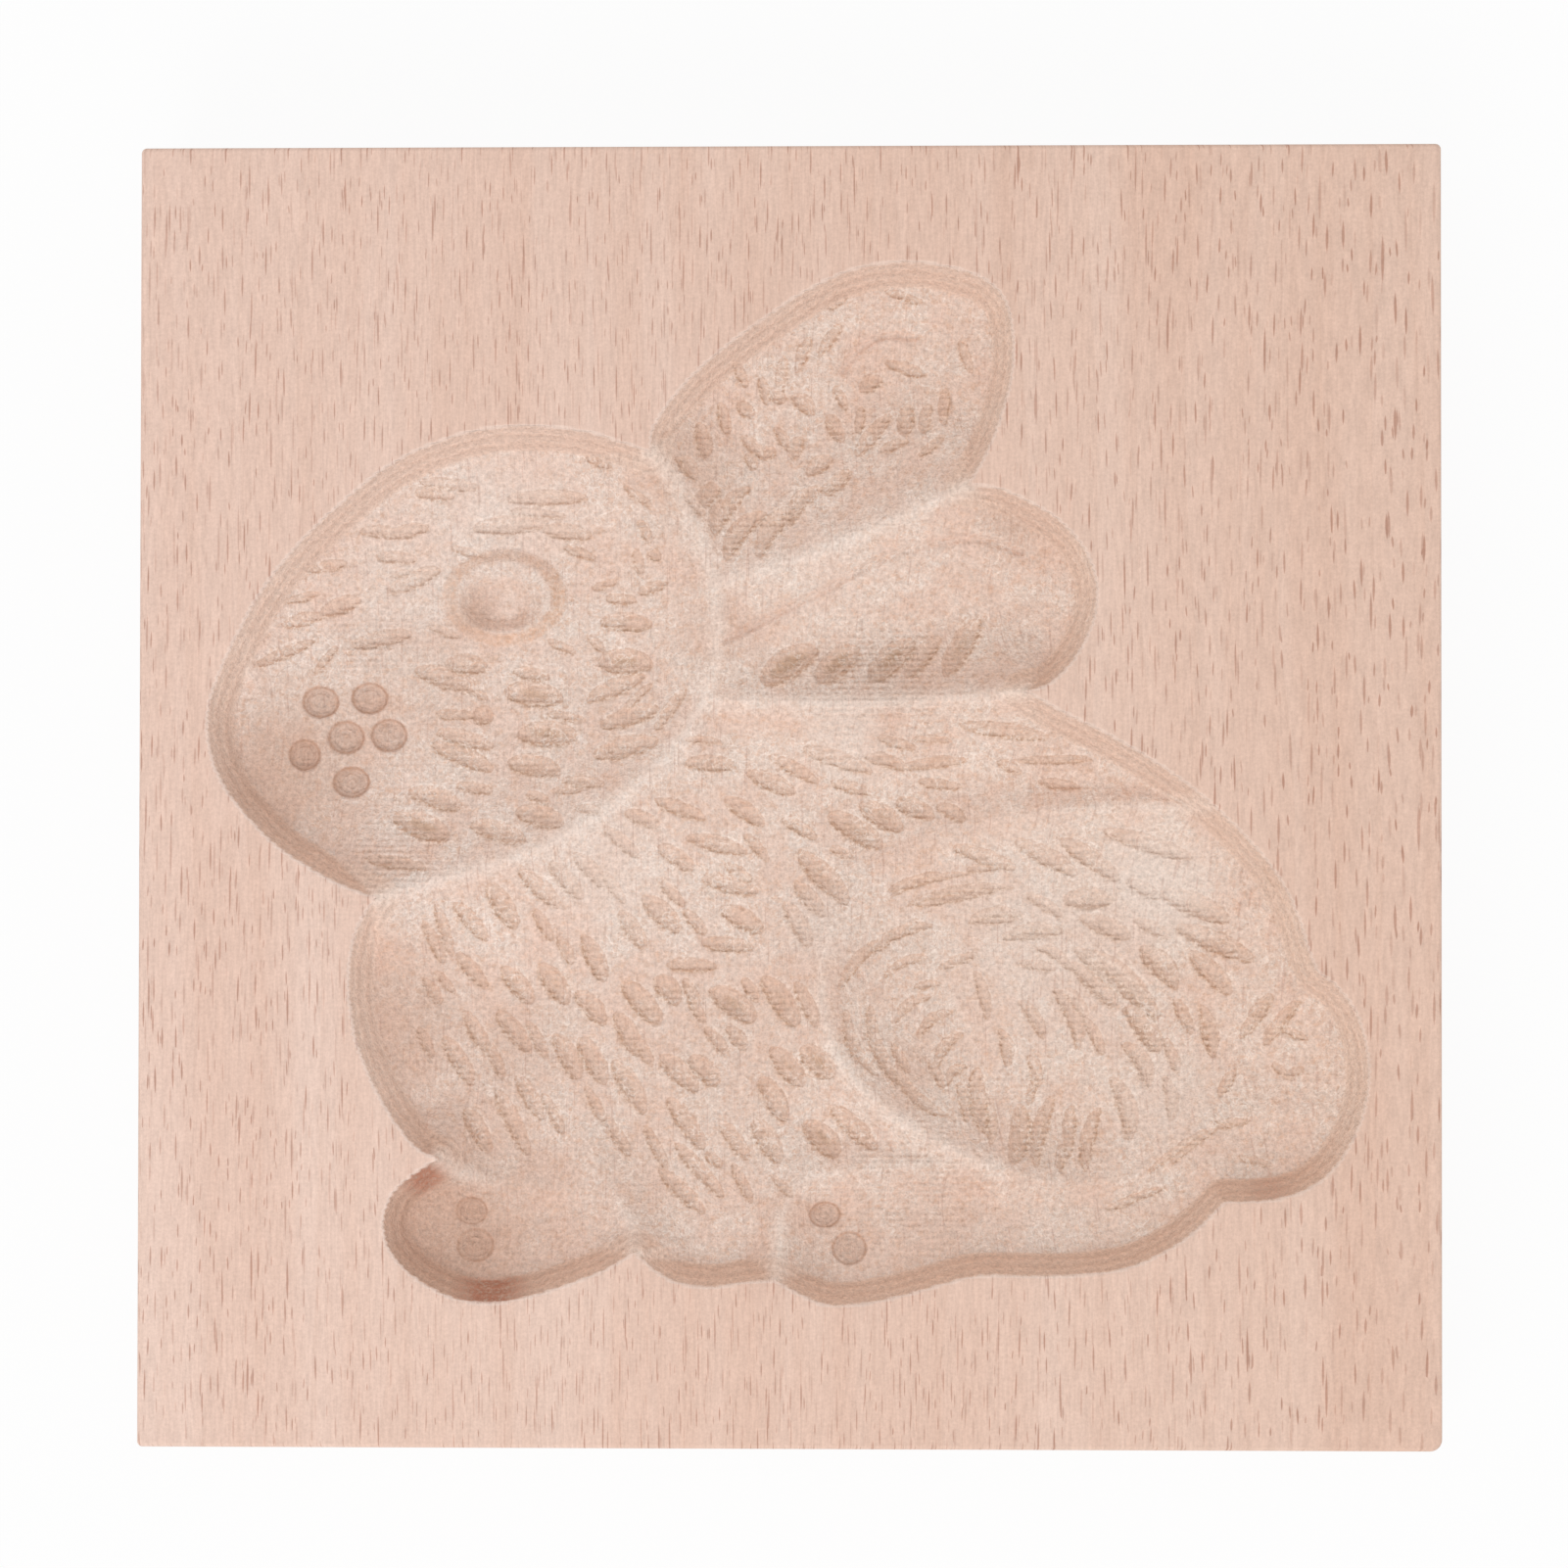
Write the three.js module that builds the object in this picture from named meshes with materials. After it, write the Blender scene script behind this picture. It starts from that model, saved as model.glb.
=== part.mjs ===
// Cookie mould: one square board of beech with a sitting rabbit cut into its face.
// The board lies on its back. X runs to the right of the face, Y up along the grain, and Z out of
// the cut face. All sizes are in millimetres.
import * as THREE from 'three';

// The board
const BOARD_WIDTH = 120; // across the grain
const BOARD_HEIGHT = 120; // along the grain
const BOARD_THICKNESS = 20;
const ARRIS = 0.35; // all edges are eased by this much
const CORNER_RADIUS = 0.5;
const WORN_CORNER_RADIUS = 1.1; // the lower right corner, which is more rounded
const CORNER_STEPS = 3;

// The figure fills the width of the board between two margins. It is drawn in units of its own,
// x to the right and y down, read off the face by eye.
const NOSE_MARGIN = 6.3; // from the left edge of the board to the nose
const TAIL_MARGIN = 6.7; // from the end of the tail to the right edge
const DRAWN_NOSE_X = 212;
const DRAWN_TAIL_X = 1397;
const DRAWN_MIDDLE_Y = 814; // this height of the drawing lies halfway up the board

// The cut: a steep wall all round, and then a floor that sinks on like a pillow pressed in
const WALL_RUN = 2; // how far in the foot of the wall lies from the rim
const WALL_DEPTH = 3.7;
const CROWN_RUN = 16; // from the foot of the wall to where the floor is level
const CROWN_DEPTH = 2.4; // below the foot of the wall
const SHALLOWEST = 0.02; // depth of the floor just inside the rim

// Details in the floor
const TUFT_DEPTH = 0.4; // a gouge stroke of the usual width
const TUFT_WIDTH = 1.5; // that usual width
const WHISKER_DOT_DEPTH = 0.6;
const TOE_DOT_DEPTH = 0.3;
const DOT_WALL = 0.3; // the share of a dot's radius that its sloping wall takes
const EYE_RAISED = 0.9; // the eye stands up from the floor by this much
const EYE_SLOPE_RUN = 1.3;
const EYEBALL_DEPTH = 1;
const EYEBALL_WALL = 0.5; // the share of the eyeball's radius that its sloping wall takes
const INNER_EAR_DEPTH = 0.45; // the fine line round the inner ear
const INNER_EAR_WIDTH = 1.0;

// How fine the faceted surface is
const RIM_STEP = 1.3;
const RIDGE_STEP = 1.5;
const FLOOR_STEP = 2.3;
const CREST_ROW = 1.2; // rows of points this far out on both sides of a crest
const TUFT_STEP = 0.95; // along a stroke, or less on a narrow one
const NARROW_TUFT_STEP = 0.85; // as a share of the stroke's width
const CLOSEST = 0.3; // no two points of the floor are nearer than this
const CLEAR_OF_RIM = 0.8; // ridges and details keep this far in from the rim
const ROW_SPACING = 0.8; // as a share of the step along the rim, where rows of the wall crowd
const FILL_SPACING = 1.4; // the even fill keeps this far from other points
const WAYS_OUT = 6; // directions in which each point of the rim is repeated to round off its corners
const ROW_SLACK = 0.96; // a row's points may come this share of its distance from the rim
const DOT_SIDES = [12, 7]; // points round a dot's mouth and round its floor
const BOSS_SIDES = [26, 22]; // points round the foot and the top of the eye's boss
const EYEBALL_SIDES = [18, 10]; // points round the eyeball's mouth and round its floor

// The rim, clockwise from the notch under the jaw. Each run is one smooth curve and ends at a notch.
const rimRuns = {
  head: [
    [386, 918], [352, 906], [320, 889], [285, 866], [256, 838], [232, 808], [218, 778], [212, 742],
    [216, 712], [228, 680], [246, 642], [270, 600], [302, 560], [345, 518], [395, 478], [440, 455],
    [490, 440], [545, 436], [600, 442], [640, 454], [666, 463],
  ],
  upperEar: [
    [666, 463], [668, 440], [700, 394], [733, 363], [775, 331], [820, 301], [868, 278], [920, 269],
    [970, 274], [1005, 286], [1026, 306], [1035, 340], [1034, 385], [1024, 425], [1008, 465], [990, 497],
  ],
  lowerEar: [
    [990, 497], [1018, 500], [1050, 513], [1085, 535], [1110, 565], [1121, 600], [1117, 637],
    [1098, 674], [1072, 700], [1048, 707],
  ],
  back: [
    [1048, 707], [1090, 730], [1130, 750], [1180, 779], [1225, 811], [1270, 853], [1305, 895],
    [1325, 935], [1336, 970], [1345, 992],
  ],
  tail: [
    [1345, 992], [1366, 1009], [1383, 1032], [1394, 1065], [1397, 1100], [1390, 1140], [1372, 1178],
    [1345, 1207], [1310, 1222], [1275, 1226], [1251, 1226],
  ],
  hindFoot: [
    [1251, 1226], [1222, 1255], [1190, 1277], [1150, 1294], [1100, 1301], [1050, 1302], [1000, 1302],
    [960, 1312], [920, 1323], [880, 1331], [845, 1331], [815, 1319], [794, 1307],
  ],
  belly: [[794, 1307], [765, 1309], [725, 1314], [690, 1308], [665, 1292], [652, 1279]],
  frontPaw: [
    [652, 1279], [620, 1297], [580, 1313], [540, 1325], [500, 1331], [460, 1324], [421, 1301],
    [399, 1275], [394, 1248], [402, 1222], [424, 1201], [450, 1184],
  ],
  chest: [
    [450, 1184], [430, 1175], [405, 1146], [382, 1106], [365, 1060], [358, 1010], [361, 970],
    [370, 942], [386, 918],
  ],
};

// Ridges left standing between the forms: x, y, and how far the crest lies below the face
const ridges = {
  cheek: [
    [386, 918, 0], [440, 902, 1.1], [500, 886, 1.6], [580, 854, 1.9], [640, 811, 2.1], [690, 766, 2.6],
    [720, 715, 3.0], [733, 660, 3.0], [731, 598, 2.8], [712, 540, 2.8], [688, 488, 1.8], [666, 463, 0],
  ],
  betweenEars: [[731, 598, 2.8], [800, 577, 2.2], [860, 555, 1.7], [925, 527, 0.9], [990, 497, 0]],
  underEar: [[722, 714, 3.0], [790, 718, 2.4], [860, 719, 1.9], [960, 715, 1.1], [1048, 707, 0]],
  haunch: [
    [1232, 824, 2.6], [1150, 823, 3.2], [1060, 830, 4.0], [985, 846, 4.6], [915, 878, 4.8],
    [868, 922, 4.4], [846, 968, 3.6], [842, 1020, 3.2], [856, 1075, 3.0], [895, 1123, 2.8],
    [950, 1160, 2.8], [1010, 1189, 3.2], [1090, 1206, 4.4], [1160, 1200, 4.6], [1200, 1174, 4.6],
    [1245, 1149, 4.8],
  ],
  hindFootTop: [
    [794, 1307, 0], [799, 1275, 2.2], [802, 1240, 3.2], [822, 1206, 3.6], [880, 1194, 3.6],
    [950, 1189, 3.4], [1010, 1189, 3.2],
  ],
  foreleg: [[652, 1279, 0], [648, 1252, 2.4], [628, 1215, 3.9], [606, 1170, 4.4], [600, 1130, 4.9]],
  frontPawTop: [[450, 1184, 0], [476, 1199, 2.6], [520, 1209, 3.9], [600, 1213, 4.6]],
  muzzle: [
    [256, 686, 3.2], [300, 672, 4.6], [350, 667, 5.2], [400, 668, 5.4], [430, 685, 5.5],
    [438, 720, 5.6], [434, 752, 5.5], [420, 795, 5.2],
  ],
};

// From the crest of each ridge to where the floor beside it is level, in millimetres
const flankRuns = {
  cheek: 16,
  betweenEars: 16,
  underEar: 11,
  haunch: 9,
  hindFootTop: 9,
  foreleg: 11,
  frontPawTop: 11,
  muzzle: 12,
};

// Gouge strokes of the fur: from x, y to x, y, and how wide
const headTufts = [
  [425, 505, 466, 508, 12], [430, 494, 492, 500, 9], [518, 511, 602, 510, 12], [484, 541, 560, 536, 15],
  [556, 542, 606, 549, 13], [520, 523, 580, 529, 8], [369, 545, 406, 545, 9], [394, 550, 440, 540, 11],
  [384, 570, 428, 573, 10], [396, 607, 450, 582, 13], [315, 585, 356, 577, 9], [292, 618, 328, 607, 7],
  [290, 641, 331, 630, 11], [328, 630, 369, 613, 14], [261, 683, 323, 656, 9], [359, 661, 422, 648, 13],
  [425, 686, 489, 705, 17], [456, 679, 498, 683, 16], [525, 687, 562, 694, 11], [516, 708, 576, 716, 20],
  [445, 731, 486, 732, 9], [484, 731, 504, 735, 16], [530, 752, 592, 754, 26], [446, 749, 505, 765, 13],
  [443, 762, 505, 788, 15], [520, 780, 575, 790, 18], [420, 810, 474, 826, 17], [468, 804, 506, 810, 9],
  [404, 836, 462, 858, 21], [484, 844, 541, 861, 16], [530, 831, 580, 843, 18], [576, 799, 622, 803, 9],
  [566, 809, 600, 809, 8], [378, 879, 442, 889, 10], [606, 603, 632, 594, 7], [620, 613, 652, 615, 10],
  [654, 607, 684, 598, 9], [614, 636, 668, 640, 15], [612, 678, 668, 680, 24], [600, 717, 661, 692, 14],
  [616, 744, 676, 725, 15], [672, 748, 704, 705, 10], [608, 774, 676, 759, 17], [655, 533, 667, 558, 9],
  [650, 562, 656, 590, 9], [664, 566, 676, 572, 10],
];
const bodyTufts = [
  [703, 757, 738, 759, 9], [703, 781, 754, 784, 17], [642, 832, 677, 845, 15], [672, 819, 724, 838, 15],
  [742, 816, 782, 844, 18], [621, 847, 656, 878, 14], [765, 791, 814, 812, 18], [788, 773, 837, 801, 14],
  [821, 766, 893, 790, 17], [675, 866, 710, 890, 18], [703, 857, 765, 872, 17], [762, 853, 786, 880, 12],
  [590, 873, 622, 909, 17], [565, 883, 597, 919, 18], [719, 898, 776, 913, 19], [672, 896, 700, 927, 13],
  [658, 917, 696, 953, 22], [737, 929, 781, 952, 21], [634, 931, 660, 970, 18], [816, 871, 868, 924, 24],
  [813, 902, 844, 937, 17], [803, 923, 830, 968, 19], [847, 833, 903, 867, 24], [880, 823, 923, 849, 24],
  [916, 820, 955, 836, 20], [959, 824, 986, 839, 15], [850, 866, 873, 878, 11], [502, 904, 529, 950, 22],
  [535, 891, 574, 928, 19], [436, 942, 456, 986, 13], [449, 924, 464, 979, 12], [468, 924, 500, 962, 17],
  [468, 975, 499, 1011, 16], [435, 1001, 453, 1027, 13], [447, 993, 466, 1016, 10],
  [515, 989, 545, 1026, 21], [553, 986, 581, 1027, 23], [572, 957, 586, 986, 13], [597, 956, 619, 1004, 20],
  [476, 1034, 499, 1077, 16], [509, 1034, 543, 1077, 19], [591, 1014, 619, 1047, 21],
  [637, 1004, 676, 1047, 23], [671, 999, 695, 1026, 23], [683, 987, 733, 988, 15], [630, 1035, 655, 1080, 20],
  [568, 1057, 593, 1103, 21], [593, 1060, 620, 1108, 22], [455, 1060, 485, 1110, 18],
  [530, 1099, 556, 1145, 17], [509, 1114, 542, 1180, 18], [478, 1132, 503, 1178, 18],
  [628, 1084, 660, 1137, 22], [676, 1079, 714, 1115, 22], [706, 1081, 736, 1109, 22],
  [684, 1122, 721, 1175, 19], [691, 1168, 741, 1223, 16], [676, 1196, 722, 1239, 17],
  [722, 1178, 740, 1193, 11], [719, 964, 771, 969, 16], [727, 1011, 773, 1044, 26],
  [781, 999, 817, 1049, 24], [815, 1004, 837, 1049, 16], [722, 1050, 746, 1081, 14],
  [744, 1050, 764, 1073, 16], [789, 1071, 822, 1111, 24], [820, 1071, 853, 1101, 27],
  [778, 1101, 804, 1145, 22], [827, 1142, 868, 1184, 34], [845, 1132, 898, 1178, 22],
  [771, 1145, 799, 1188, 23], [737, 1146, 766, 1184, 17], [750, 1189, 770, 1229, 12],
];
const backTufts = [
  [898, 755, 938, 767, 11], [932, 757, 975, 758, 8], [885, 774, 928, 785, 14], [920, 785, 990, 778, 12],
  [982, 743, 1074, 756, 16], [1020, 779, 1044, 791, 12], [1040, 779, 1118, 777, 9],
  [1038, 860, 1102, 894, 19], [1084, 858, 1144, 900, 20], [1128, 850, 1218, 878, 18],
  [975, 866, 1039, 888, 16], [909, 911, 963, 893, 12], [936, 925, 1030, 905, 14], [990, 943, 1047, 937, 11],
  [1087, 920, 1138, 920, 22], [1104, 938, 1156, 958, 20], [1025, 957, 1088, 951, 14],
  [1098, 969, 1186, 1040, 19], [1166, 970, 1203, 1008, 22], [1098, 986, 1142, 1028, 22],
  [1153, 1027, 1183, 1075, 22], [1186, 912, 1256, 942, 24], [1202, 947, 1280, 981, 22],
  [1215, 973, 1257, 1015, 21], [1228, 1029, 1240, 1080, 16],
];
const haunchTufts = [
  [1024, 1009, 1036, 1049, 13], [1050, 1012, 1058, 1055, 11], [1081, 1004, 1100, 1071, 15],
  [1066, 1060, 1078, 1092, 13], [1032, 1074, 1043, 1108, 13], [1075, 1114, 1063, 1194, 12],
  [1047, 1130, 1032, 1179, 17], [1100, 1133, 1091, 1176, 13], [1126, 1131, 1114, 1191, 15],
  [1129, 1092, 1158, 1178, 15], [1186, 1101, 1198, 1149, 15], [1145, 1071, 1170, 1105, 17],
  [1001, 1104, 1008, 1165, 13], [1001, 998, 1008, 1037, 11], [884, 1034, 907, 1097, 17],
  [922, 1091, 968, 1139, 13], [975, 1040, 953, 1072, 12], [971, 1056, 980, 1091, 10],
  [1003, 1078, 992, 1104, 9], [926, 1050, 951, 1040, 12], [860, 1016, 897, 972, 12],
  [893, 975, 952, 950, 12], [1195, 1190, 1244, 1152, 9],
];
const earTufts = [
  [755, 414, 770, 428, 13], [786, 400, 803, 412, 14], [810, 406, 833, 423, 16], [716, 434, 724, 471, 15],
  [765, 464, 772, 482, 11], [781, 470, 792, 459, 13], [826, 486, 851, 469, 15], [811, 470, 820, 447, 12],
  [879, 446, 882, 416, 9], [876, 468, 912, 424, 14], [930, 414, 926, 448, 15], [880, 400, 902, 387, 15],
  [719, 520, 735, 497, 17], [731, 548, 749, 528, 16], [738, 571, 757, 553, 14], [779, 571, 813, 523, 13],
  [830, 527, 842, 497, 14], [968, 398, 966, 436, 9], [837, 664, 781, 700, 26], [879, 663, 838, 700, 26],
  [936, 656, 891, 698, 24], [962, 652, 928, 694, 16], [1002, 634, 968, 693, 21],
];
const tailTufts = [
  [1300, 1017, 1268, 1060, 14], [1326, 1022, 1292, 1066, 14], [1243, 1151, 1278, 1144, 9],
  [1130, 1234, 1193, 1211, 9], [1299, 1086, 1315, 1099, 9], [1313, 1100, 1331, 1090, 9],
];

// Round dots: x, y, half width and half height
const whiskerDots = [
  [328, 718, 20, 17], [378, 714, 20, 17], [354, 754, 20, 18], [398, 752, 20, 18], [312, 772, 17, 17],
  [360, 800, 20, 17],
];
const toeDots = [[845, 1240, 17, 14], [870, 1274, 19, 18], [485, 1237, 17, 15], [489, 1272, 20, 18]];

// The eye: x, y, half width and half height
const eyeBoss = [518, 610, 66, 51];
const eyeball = [513, 617, 46, 29];

// The fine lines round the inner ears
const innerEarLines = [
  [[745, 655], [800, 627], [850, 602], [900, 576], [945, 561], [1000, 554], [1045, 566]],
  [[862, 380], [878, 359], [903, 345], [935, 346]],
];

// One drawing unit in millimetres
const unit = (BOARD_WIDTH - NOSE_MARGIN - TAIL_MARGIN) / (DRAWN_TAIL_X - DRAWN_NOSE_X);

function place([x, y]) {
  return [NOSE_MARGIN - BOARD_WIDTH / 2 + (x - DRAWN_NOSE_X) * unit, (DRAWN_MIDDLE_Y - y) * unit];
}

// A smooth curve through points in millimetres, as points at even steps. A third value runs along.
function curve(points, step) {
  const path = new THREE.CatmullRomCurve3(
    points.map(([x, y, z = 0]) => new THREE.Vector3(x, y, z)),
    false,
    'centripetal',
  );
  const count = Math.max(2, Math.round(path.getLength() / step));
  return path.getSpacedPoints(count).map((p) => [p.x, p.y, p.z]);
}

function rimCurve() {
  const runs = Object.values(rimRuns).map((run) => curve(run.map(place), RIM_STEP));
  return runs.flatMap((run) => run.slice(0, -1)).map(([x, y]) => [x, y]);
}

function ridgeCurves() {
  return Object.entries(ridges).map(([name, points]) => ({
    flankRun: flankRuns[name],
    line: curve(points.map(([x, y, below]) => [...place([x, y]), below]), RIDGE_STEP),
  }));
}

// Depth of the plain cut at a distance in from the rim
function cutDepth(inward) {
  if (inward < WALL_RUN) return (WALL_DEPTH * inward) / WALL_RUN;
  const left = 1 - Math.min((inward - WALL_RUN) / CROWN_RUN, 1);
  return WALL_DEPTH + CROWN_DEPTH * (1 - left * left);
}

// Depth at a distance from a ridge whose crest lies so far below the face
function flankDepth(away, below, flankRun) {
  const left = 1 - Math.min(away / flankRun, 1);
  return below + (WALL_DEPTH + CROWN_DEPTH - below) * (1 - left * left);
}

// The nearest point of a line of points: its distance and its third value
function nearest(line, closed, x, y) {
  let best = [Infinity, 0];
  const last = closed ? line.length : line.length - 1;
  for (let i = 0; i < last; i += 1) {
    const a = line[i];
    const b = line[(i + 1) % line.length];
    const [dx, dy] = [b[0] - a[0], b[1] - a[1]];
    const along = ((x - a[0]) * dx + (y - a[1]) * dy) / (dx * dx + dy * dy);
    const t = Math.min(Math.max(along, 0), 1);
    const away = Math.hypot(x - a[0] - t * dx, y - a[1] - t * dy);
    if (away < best[0]) best = [away, (a[2] ?? 0) * (1 - t) + (b[2] ?? 0) * t];
  }
  return best;
}

// A boat-shaped stroke: pointed at both ends, deepest along its middle
function tuftShape([x1, y1, x2, y2, wide]) {
  const [ax, ay] = place([x1, y1]);
  const [bx, by] = place([x2, y2]);
  const long = Math.hypot(bx - ax, by - ay);
  const [ux, uy] = [(bx - ax) / long, (by - ay) / long];
  const half = (wide * unit) / 2;
  const spread = (t) => half * Math.sqrt(Math.max(0, 4 * t * (1 - t)));
  const at = (t, side) => [
    ax + (bx - ax) * t - uy * spread(t) * side,
    ay + (by - ay) * t + ux * spread(t) * side,
  ];
  const depth = (x, y) => {
    const t = ((x - ax) * ux + (y - ay) * uy) / long;
    if (t <= 0 || t >= 1) return 0;
    const v = ((y - ay) * ux - (x - ax) * uy) / spread(t);
    const full = (TUFT_DEPTH * 2 * half) / TUFT_WIDTH;
    return Math.abs(v) >= 1 ? 0 : full * Math.sqrt(4 * t * (1 - t)) * (1 - v * v);
  };
  const steps = Math.max(3, Math.round(long / Math.min(TUFT_STEP, NARROW_TUFT_STEP * 2 * half)));
  const middle = Array.from({ length: steps - 1 }, (_, i) => at((i + 1) / steps, 0));
  const sides = Array.from({ length: steps }, (_, i) => (i + 0.5) / steps)
    .flatMap((t) => [at(t, 1), at(t, -1)]);
  return { depth, points: [...middle, ...sides, at(0, 0), at(1, 0)] };
}

// A round hollow or a raised boss on an oval: its share of the full height, 1 on the middle
function ovalShape([x, y, halfWide, halfHigh]) {
  const [cx, cy] = place([x, y]);
  const [rx, ry] = [halfWide * unit, halfHigh * unit];
  const inside = (px, py) => 1 - Math.hypot((px - cx) / rx, (py - cy) / ry);
  const ring = (share, count) => Array.from({ length: count }, (_, i) => {
    const turn = (2 * Math.PI * (i + 0.5)) / count;
    return [cx + rx * share * Math.cos(turn), cy + ry * share * Math.sin(turn)];
  });
  return { inside, ring, centre: [cx, cy], radius: Math.min(rx, ry) };
}

function dotShape(dot, full) {
  const oval = ovalShape(dot);
  const depth = (x, y) => full * Math.min(Math.max(oval.inside(x, y), 0) / DOT_WALL, 1);
  const [mouth, floor] = DOT_SIDES;
  return { depth, points: [...oval.ring(1, mouth), ...oval.ring(1 - DOT_WALL, floor), oval.centre] };
}

function eyeShape() {
  const boss = ovalShape(eyeBoss);
  const ball = ovalShape(eyeball);
  const slope = EYE_SLOPE_RUN / boss.radius;
  const depth = (x, y) => {
    const raised = Math.min(Math.max(boss.inside(x, y), 0) / slope, 1);
    const sunk = Math.min(Math.max(ball.inside(x, y), 0) / EYEBALL_WALL, 1);
    return EYEBALL_DEPTH * sunk - EYE_RAISED * raised;
  };
  const points = [
    ...boss.ring(1, BOSS_SIDES[0]), ...boss.ring(1 - slope, BOSS_SIDES[1]),
    ...ball.ring(1, EYEBALL_SIDES[0]), ...ball.ring(1 - EYEBALL_WALL, EYEBALL_SIDES[1]), ball.centre,
  ];
  return { depth, points };
}

function innerEarShape(line) {
  const path = curve(line.map(place), RIDGE_STEP);
  const half = INNER_EAR_WIDTH / 2;
  const depth = (x, y) => INNER_EAR_DEPTH * Math.max(0, 1 - nearest(path, false, x, y)[0] / half);
  return { depth, points: [...path, ...beside(path, half, 1), ...beside(path, half, -1)] };
}

// Points at a distance to one side of a line
function beside(line, away, side) {
  return line.map((p, i) => {
    const a = line[Math.max(i - 1, 0)];
    const b = line[Math.min(i + 1, line.length - 1)];
    const long = Math.hypot(b[0] - a[0], b[1] - a[1]);
    return [
      p[0] - (side * away * (b[1] - a[1])) / long,
      p[1] + (side * away * (b[0] - a[0])) / long,
    ];
  });
}

function insideOf(loop, x, y) {
  let odd = false;
  for (let i = 0, j = loop.length - 1; i < loop.length; j = i, i += 1) {
    const [a, b] = [loop[i], loop[j]];
    if ((a[1] > y) !== (b[1] > y) && x < ((b[0] - a[0]) * (y - a[1])) / (b[1] - a[1]) + a[0]) odd = !odd;
  }
  return odd;
}

// All that is cut into the floor besides the plain forms
function floorDetails() {
  const tufts = [
    ...headTufts, ...bodyTufts, ...backTufts, ...haunchTufts, ...earTufts, ...tailTufts,
  ].map(tuftShape);
  const dots = [
    ...whiskerDots.map((dot) => dotShape(dot, WHISKER_DOT_DEPTH)),
    ...toeDots.map((dot) => dotShape(dot, TOE_DOT_DEPTH)),
  ];
  return { tufts, others: [...dots, eyeShape(), ...innerEarLines.map(innerEarShape)] };
}

// Depth below the face anywhere inside the rim
function reliefDepth(rim, crests, details, x, y) {
  const toRim = nearest(rim, true, x, y)[0];
  const plain = crests.reduce((least, { flankRun, line }) => {
    const [away, below] = nearest(line, false, x, y);
    return Math.min(least, flankDepth(away, below, flankRun));
  }, cutDepth(toRim));
  const stroke = Math.max(...details.tufts.map((tuft) => tuft.depth(x, y)));
  const rest = details.others.reduce((sum, one) => sum + one.depth(x, y), 0);
  const fade = Math.min(toRim / WALL_RUN, 1);
  return Math.max(plain + fade * (stroke + rest), SHALLOWEST);
}

// The points of the floor: rows down the wall, the crests, the details, and an even fill between
function floorPoints(rim, crests, details) {
  const kept = [];
  const take = (points, fromRim, apart) => points.forEach(([x, y]) => {
    if (!insideOf(rim, x, y) || nearest(rim, true, x, y)[0] < fromRim) return;
    if (kept.some((p) => Math.hypot(p[0] - x, p[1] - y) < apart)) return;
    kept.push([x, y]);
  });
  const looped = [...rim, rim[0], rim[1]];
  const ways = Array.from({ length: WAYS_OUT }, (_, k) => (2 * Math.PI * k) / WAYS_OUT);
  const wallRow = (inward) => [
    ...beside(looped, inward, -1),
    ...rim.flatMap(([x, y]) => (
      ways.map((turn) => [x + inward * Math.cos(turn), y + inward * Math.sin(turn)])
    )),
  ];
  [WALL_RUN, WALL_RUN / 2].forEach((inward) => {
    take(wallRow(inward), inward * ROW_SLACK, RIM_STEP * ROW_SPACING);
  });
  crests.forEach(({ line }) => {
    take(line, CLEAR_OF_RIM, CLOSEST);
    [1, -1].forEach((side) => take(beside(line, CREST_ROW, side), CLEAR_OF_RIM, CLOSEST * 2));
  });
  [...details.others, ...details.tufts].forEach((one) => take(one.points, CLEAR_OF_RIM, CLOSEST));
  const [rows, columns] = [BOARD_HEIGHT / FLOOR_STEP, BOARD_WIDTH / FLOOR_STEP];
  for (let row = 0; row < rows; row += 1) {
    for (let column = 0; column < columns; column += 1) {
      const x = (column + (row % 2) / 2) * FLOOR_STEP - BOARD_WIDTH / 2;
      take([[x, row * FLOOR_STEP - BOARD_HEIGHT / 2]], WALL_RUN + CLEAR_OF_RIM, FILL_SPACING);
    }
  }
  return kept;
}

// Triangles over points in the plane, such that no circle through a triangle holds another point
function triangles(points) {
  const far = 10 * Math.max(BOARD_WIDTH, BOARD_HEIGHT);
  const all = [...points, [-far, -far], [far, -far], [0, far]];
  const circle = (a, b, c) => {
    const [p, q, r] = [all[a], all[b], all[c]];
    const [bx, by, cx, cy] = [q[0] - p[0], q[1] - p[1], r[0] - p[0], r[1] - p[1]];
    const twice = 2 * (bx * cy - by * cx);
    const [bb, cc] = [bx * bx + by * by, cx * cx + cy * cy];
    const [ux, uy] = [(cy * bb - by * cc) / twice, (bx * cc - cx * bb) / twice];
    return { a, b, c, x: p[0] + ux, y: p[1] + uy, square: ux * ux + uy * uy };
  };
  let made = [circle(points.length, points.length + 1, points.length + 2)];
  const order = points.map((_, i) => i).sort((i, j) => points[i][0] - points[j][0]);
  const finished = [];
  order.forEach((i) => {
    const [x, y] = points[i];
    const edges = new Map();
    const stay = [];
    made.forEach((one) => {
      const [dx, dy] = [x - one.x, y - one.y];
      if (dx > 0 && dx * dx > one.square) finished.push(one);
      else if (dx * dx + dy * dy > one.square) stay.push(one);
      else {
        [[one.a, one.b], [one.b, one.c], [one.c, one.a]].forEach(([from, to]) => {
          if (!edges.delete(`${to},${from}`)) edges.set(`${from},${to}`, [from, to]);
        });
      }
    });
    edges.forEach(([from, to]) => stay.push(circle(from, to, i)));
    made = stay;
  });
  return [...finished, ...made].map(({ a, b, c }) => [a, b, c]).filter((t) => Math.max(...t) < points.length);
}

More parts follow.
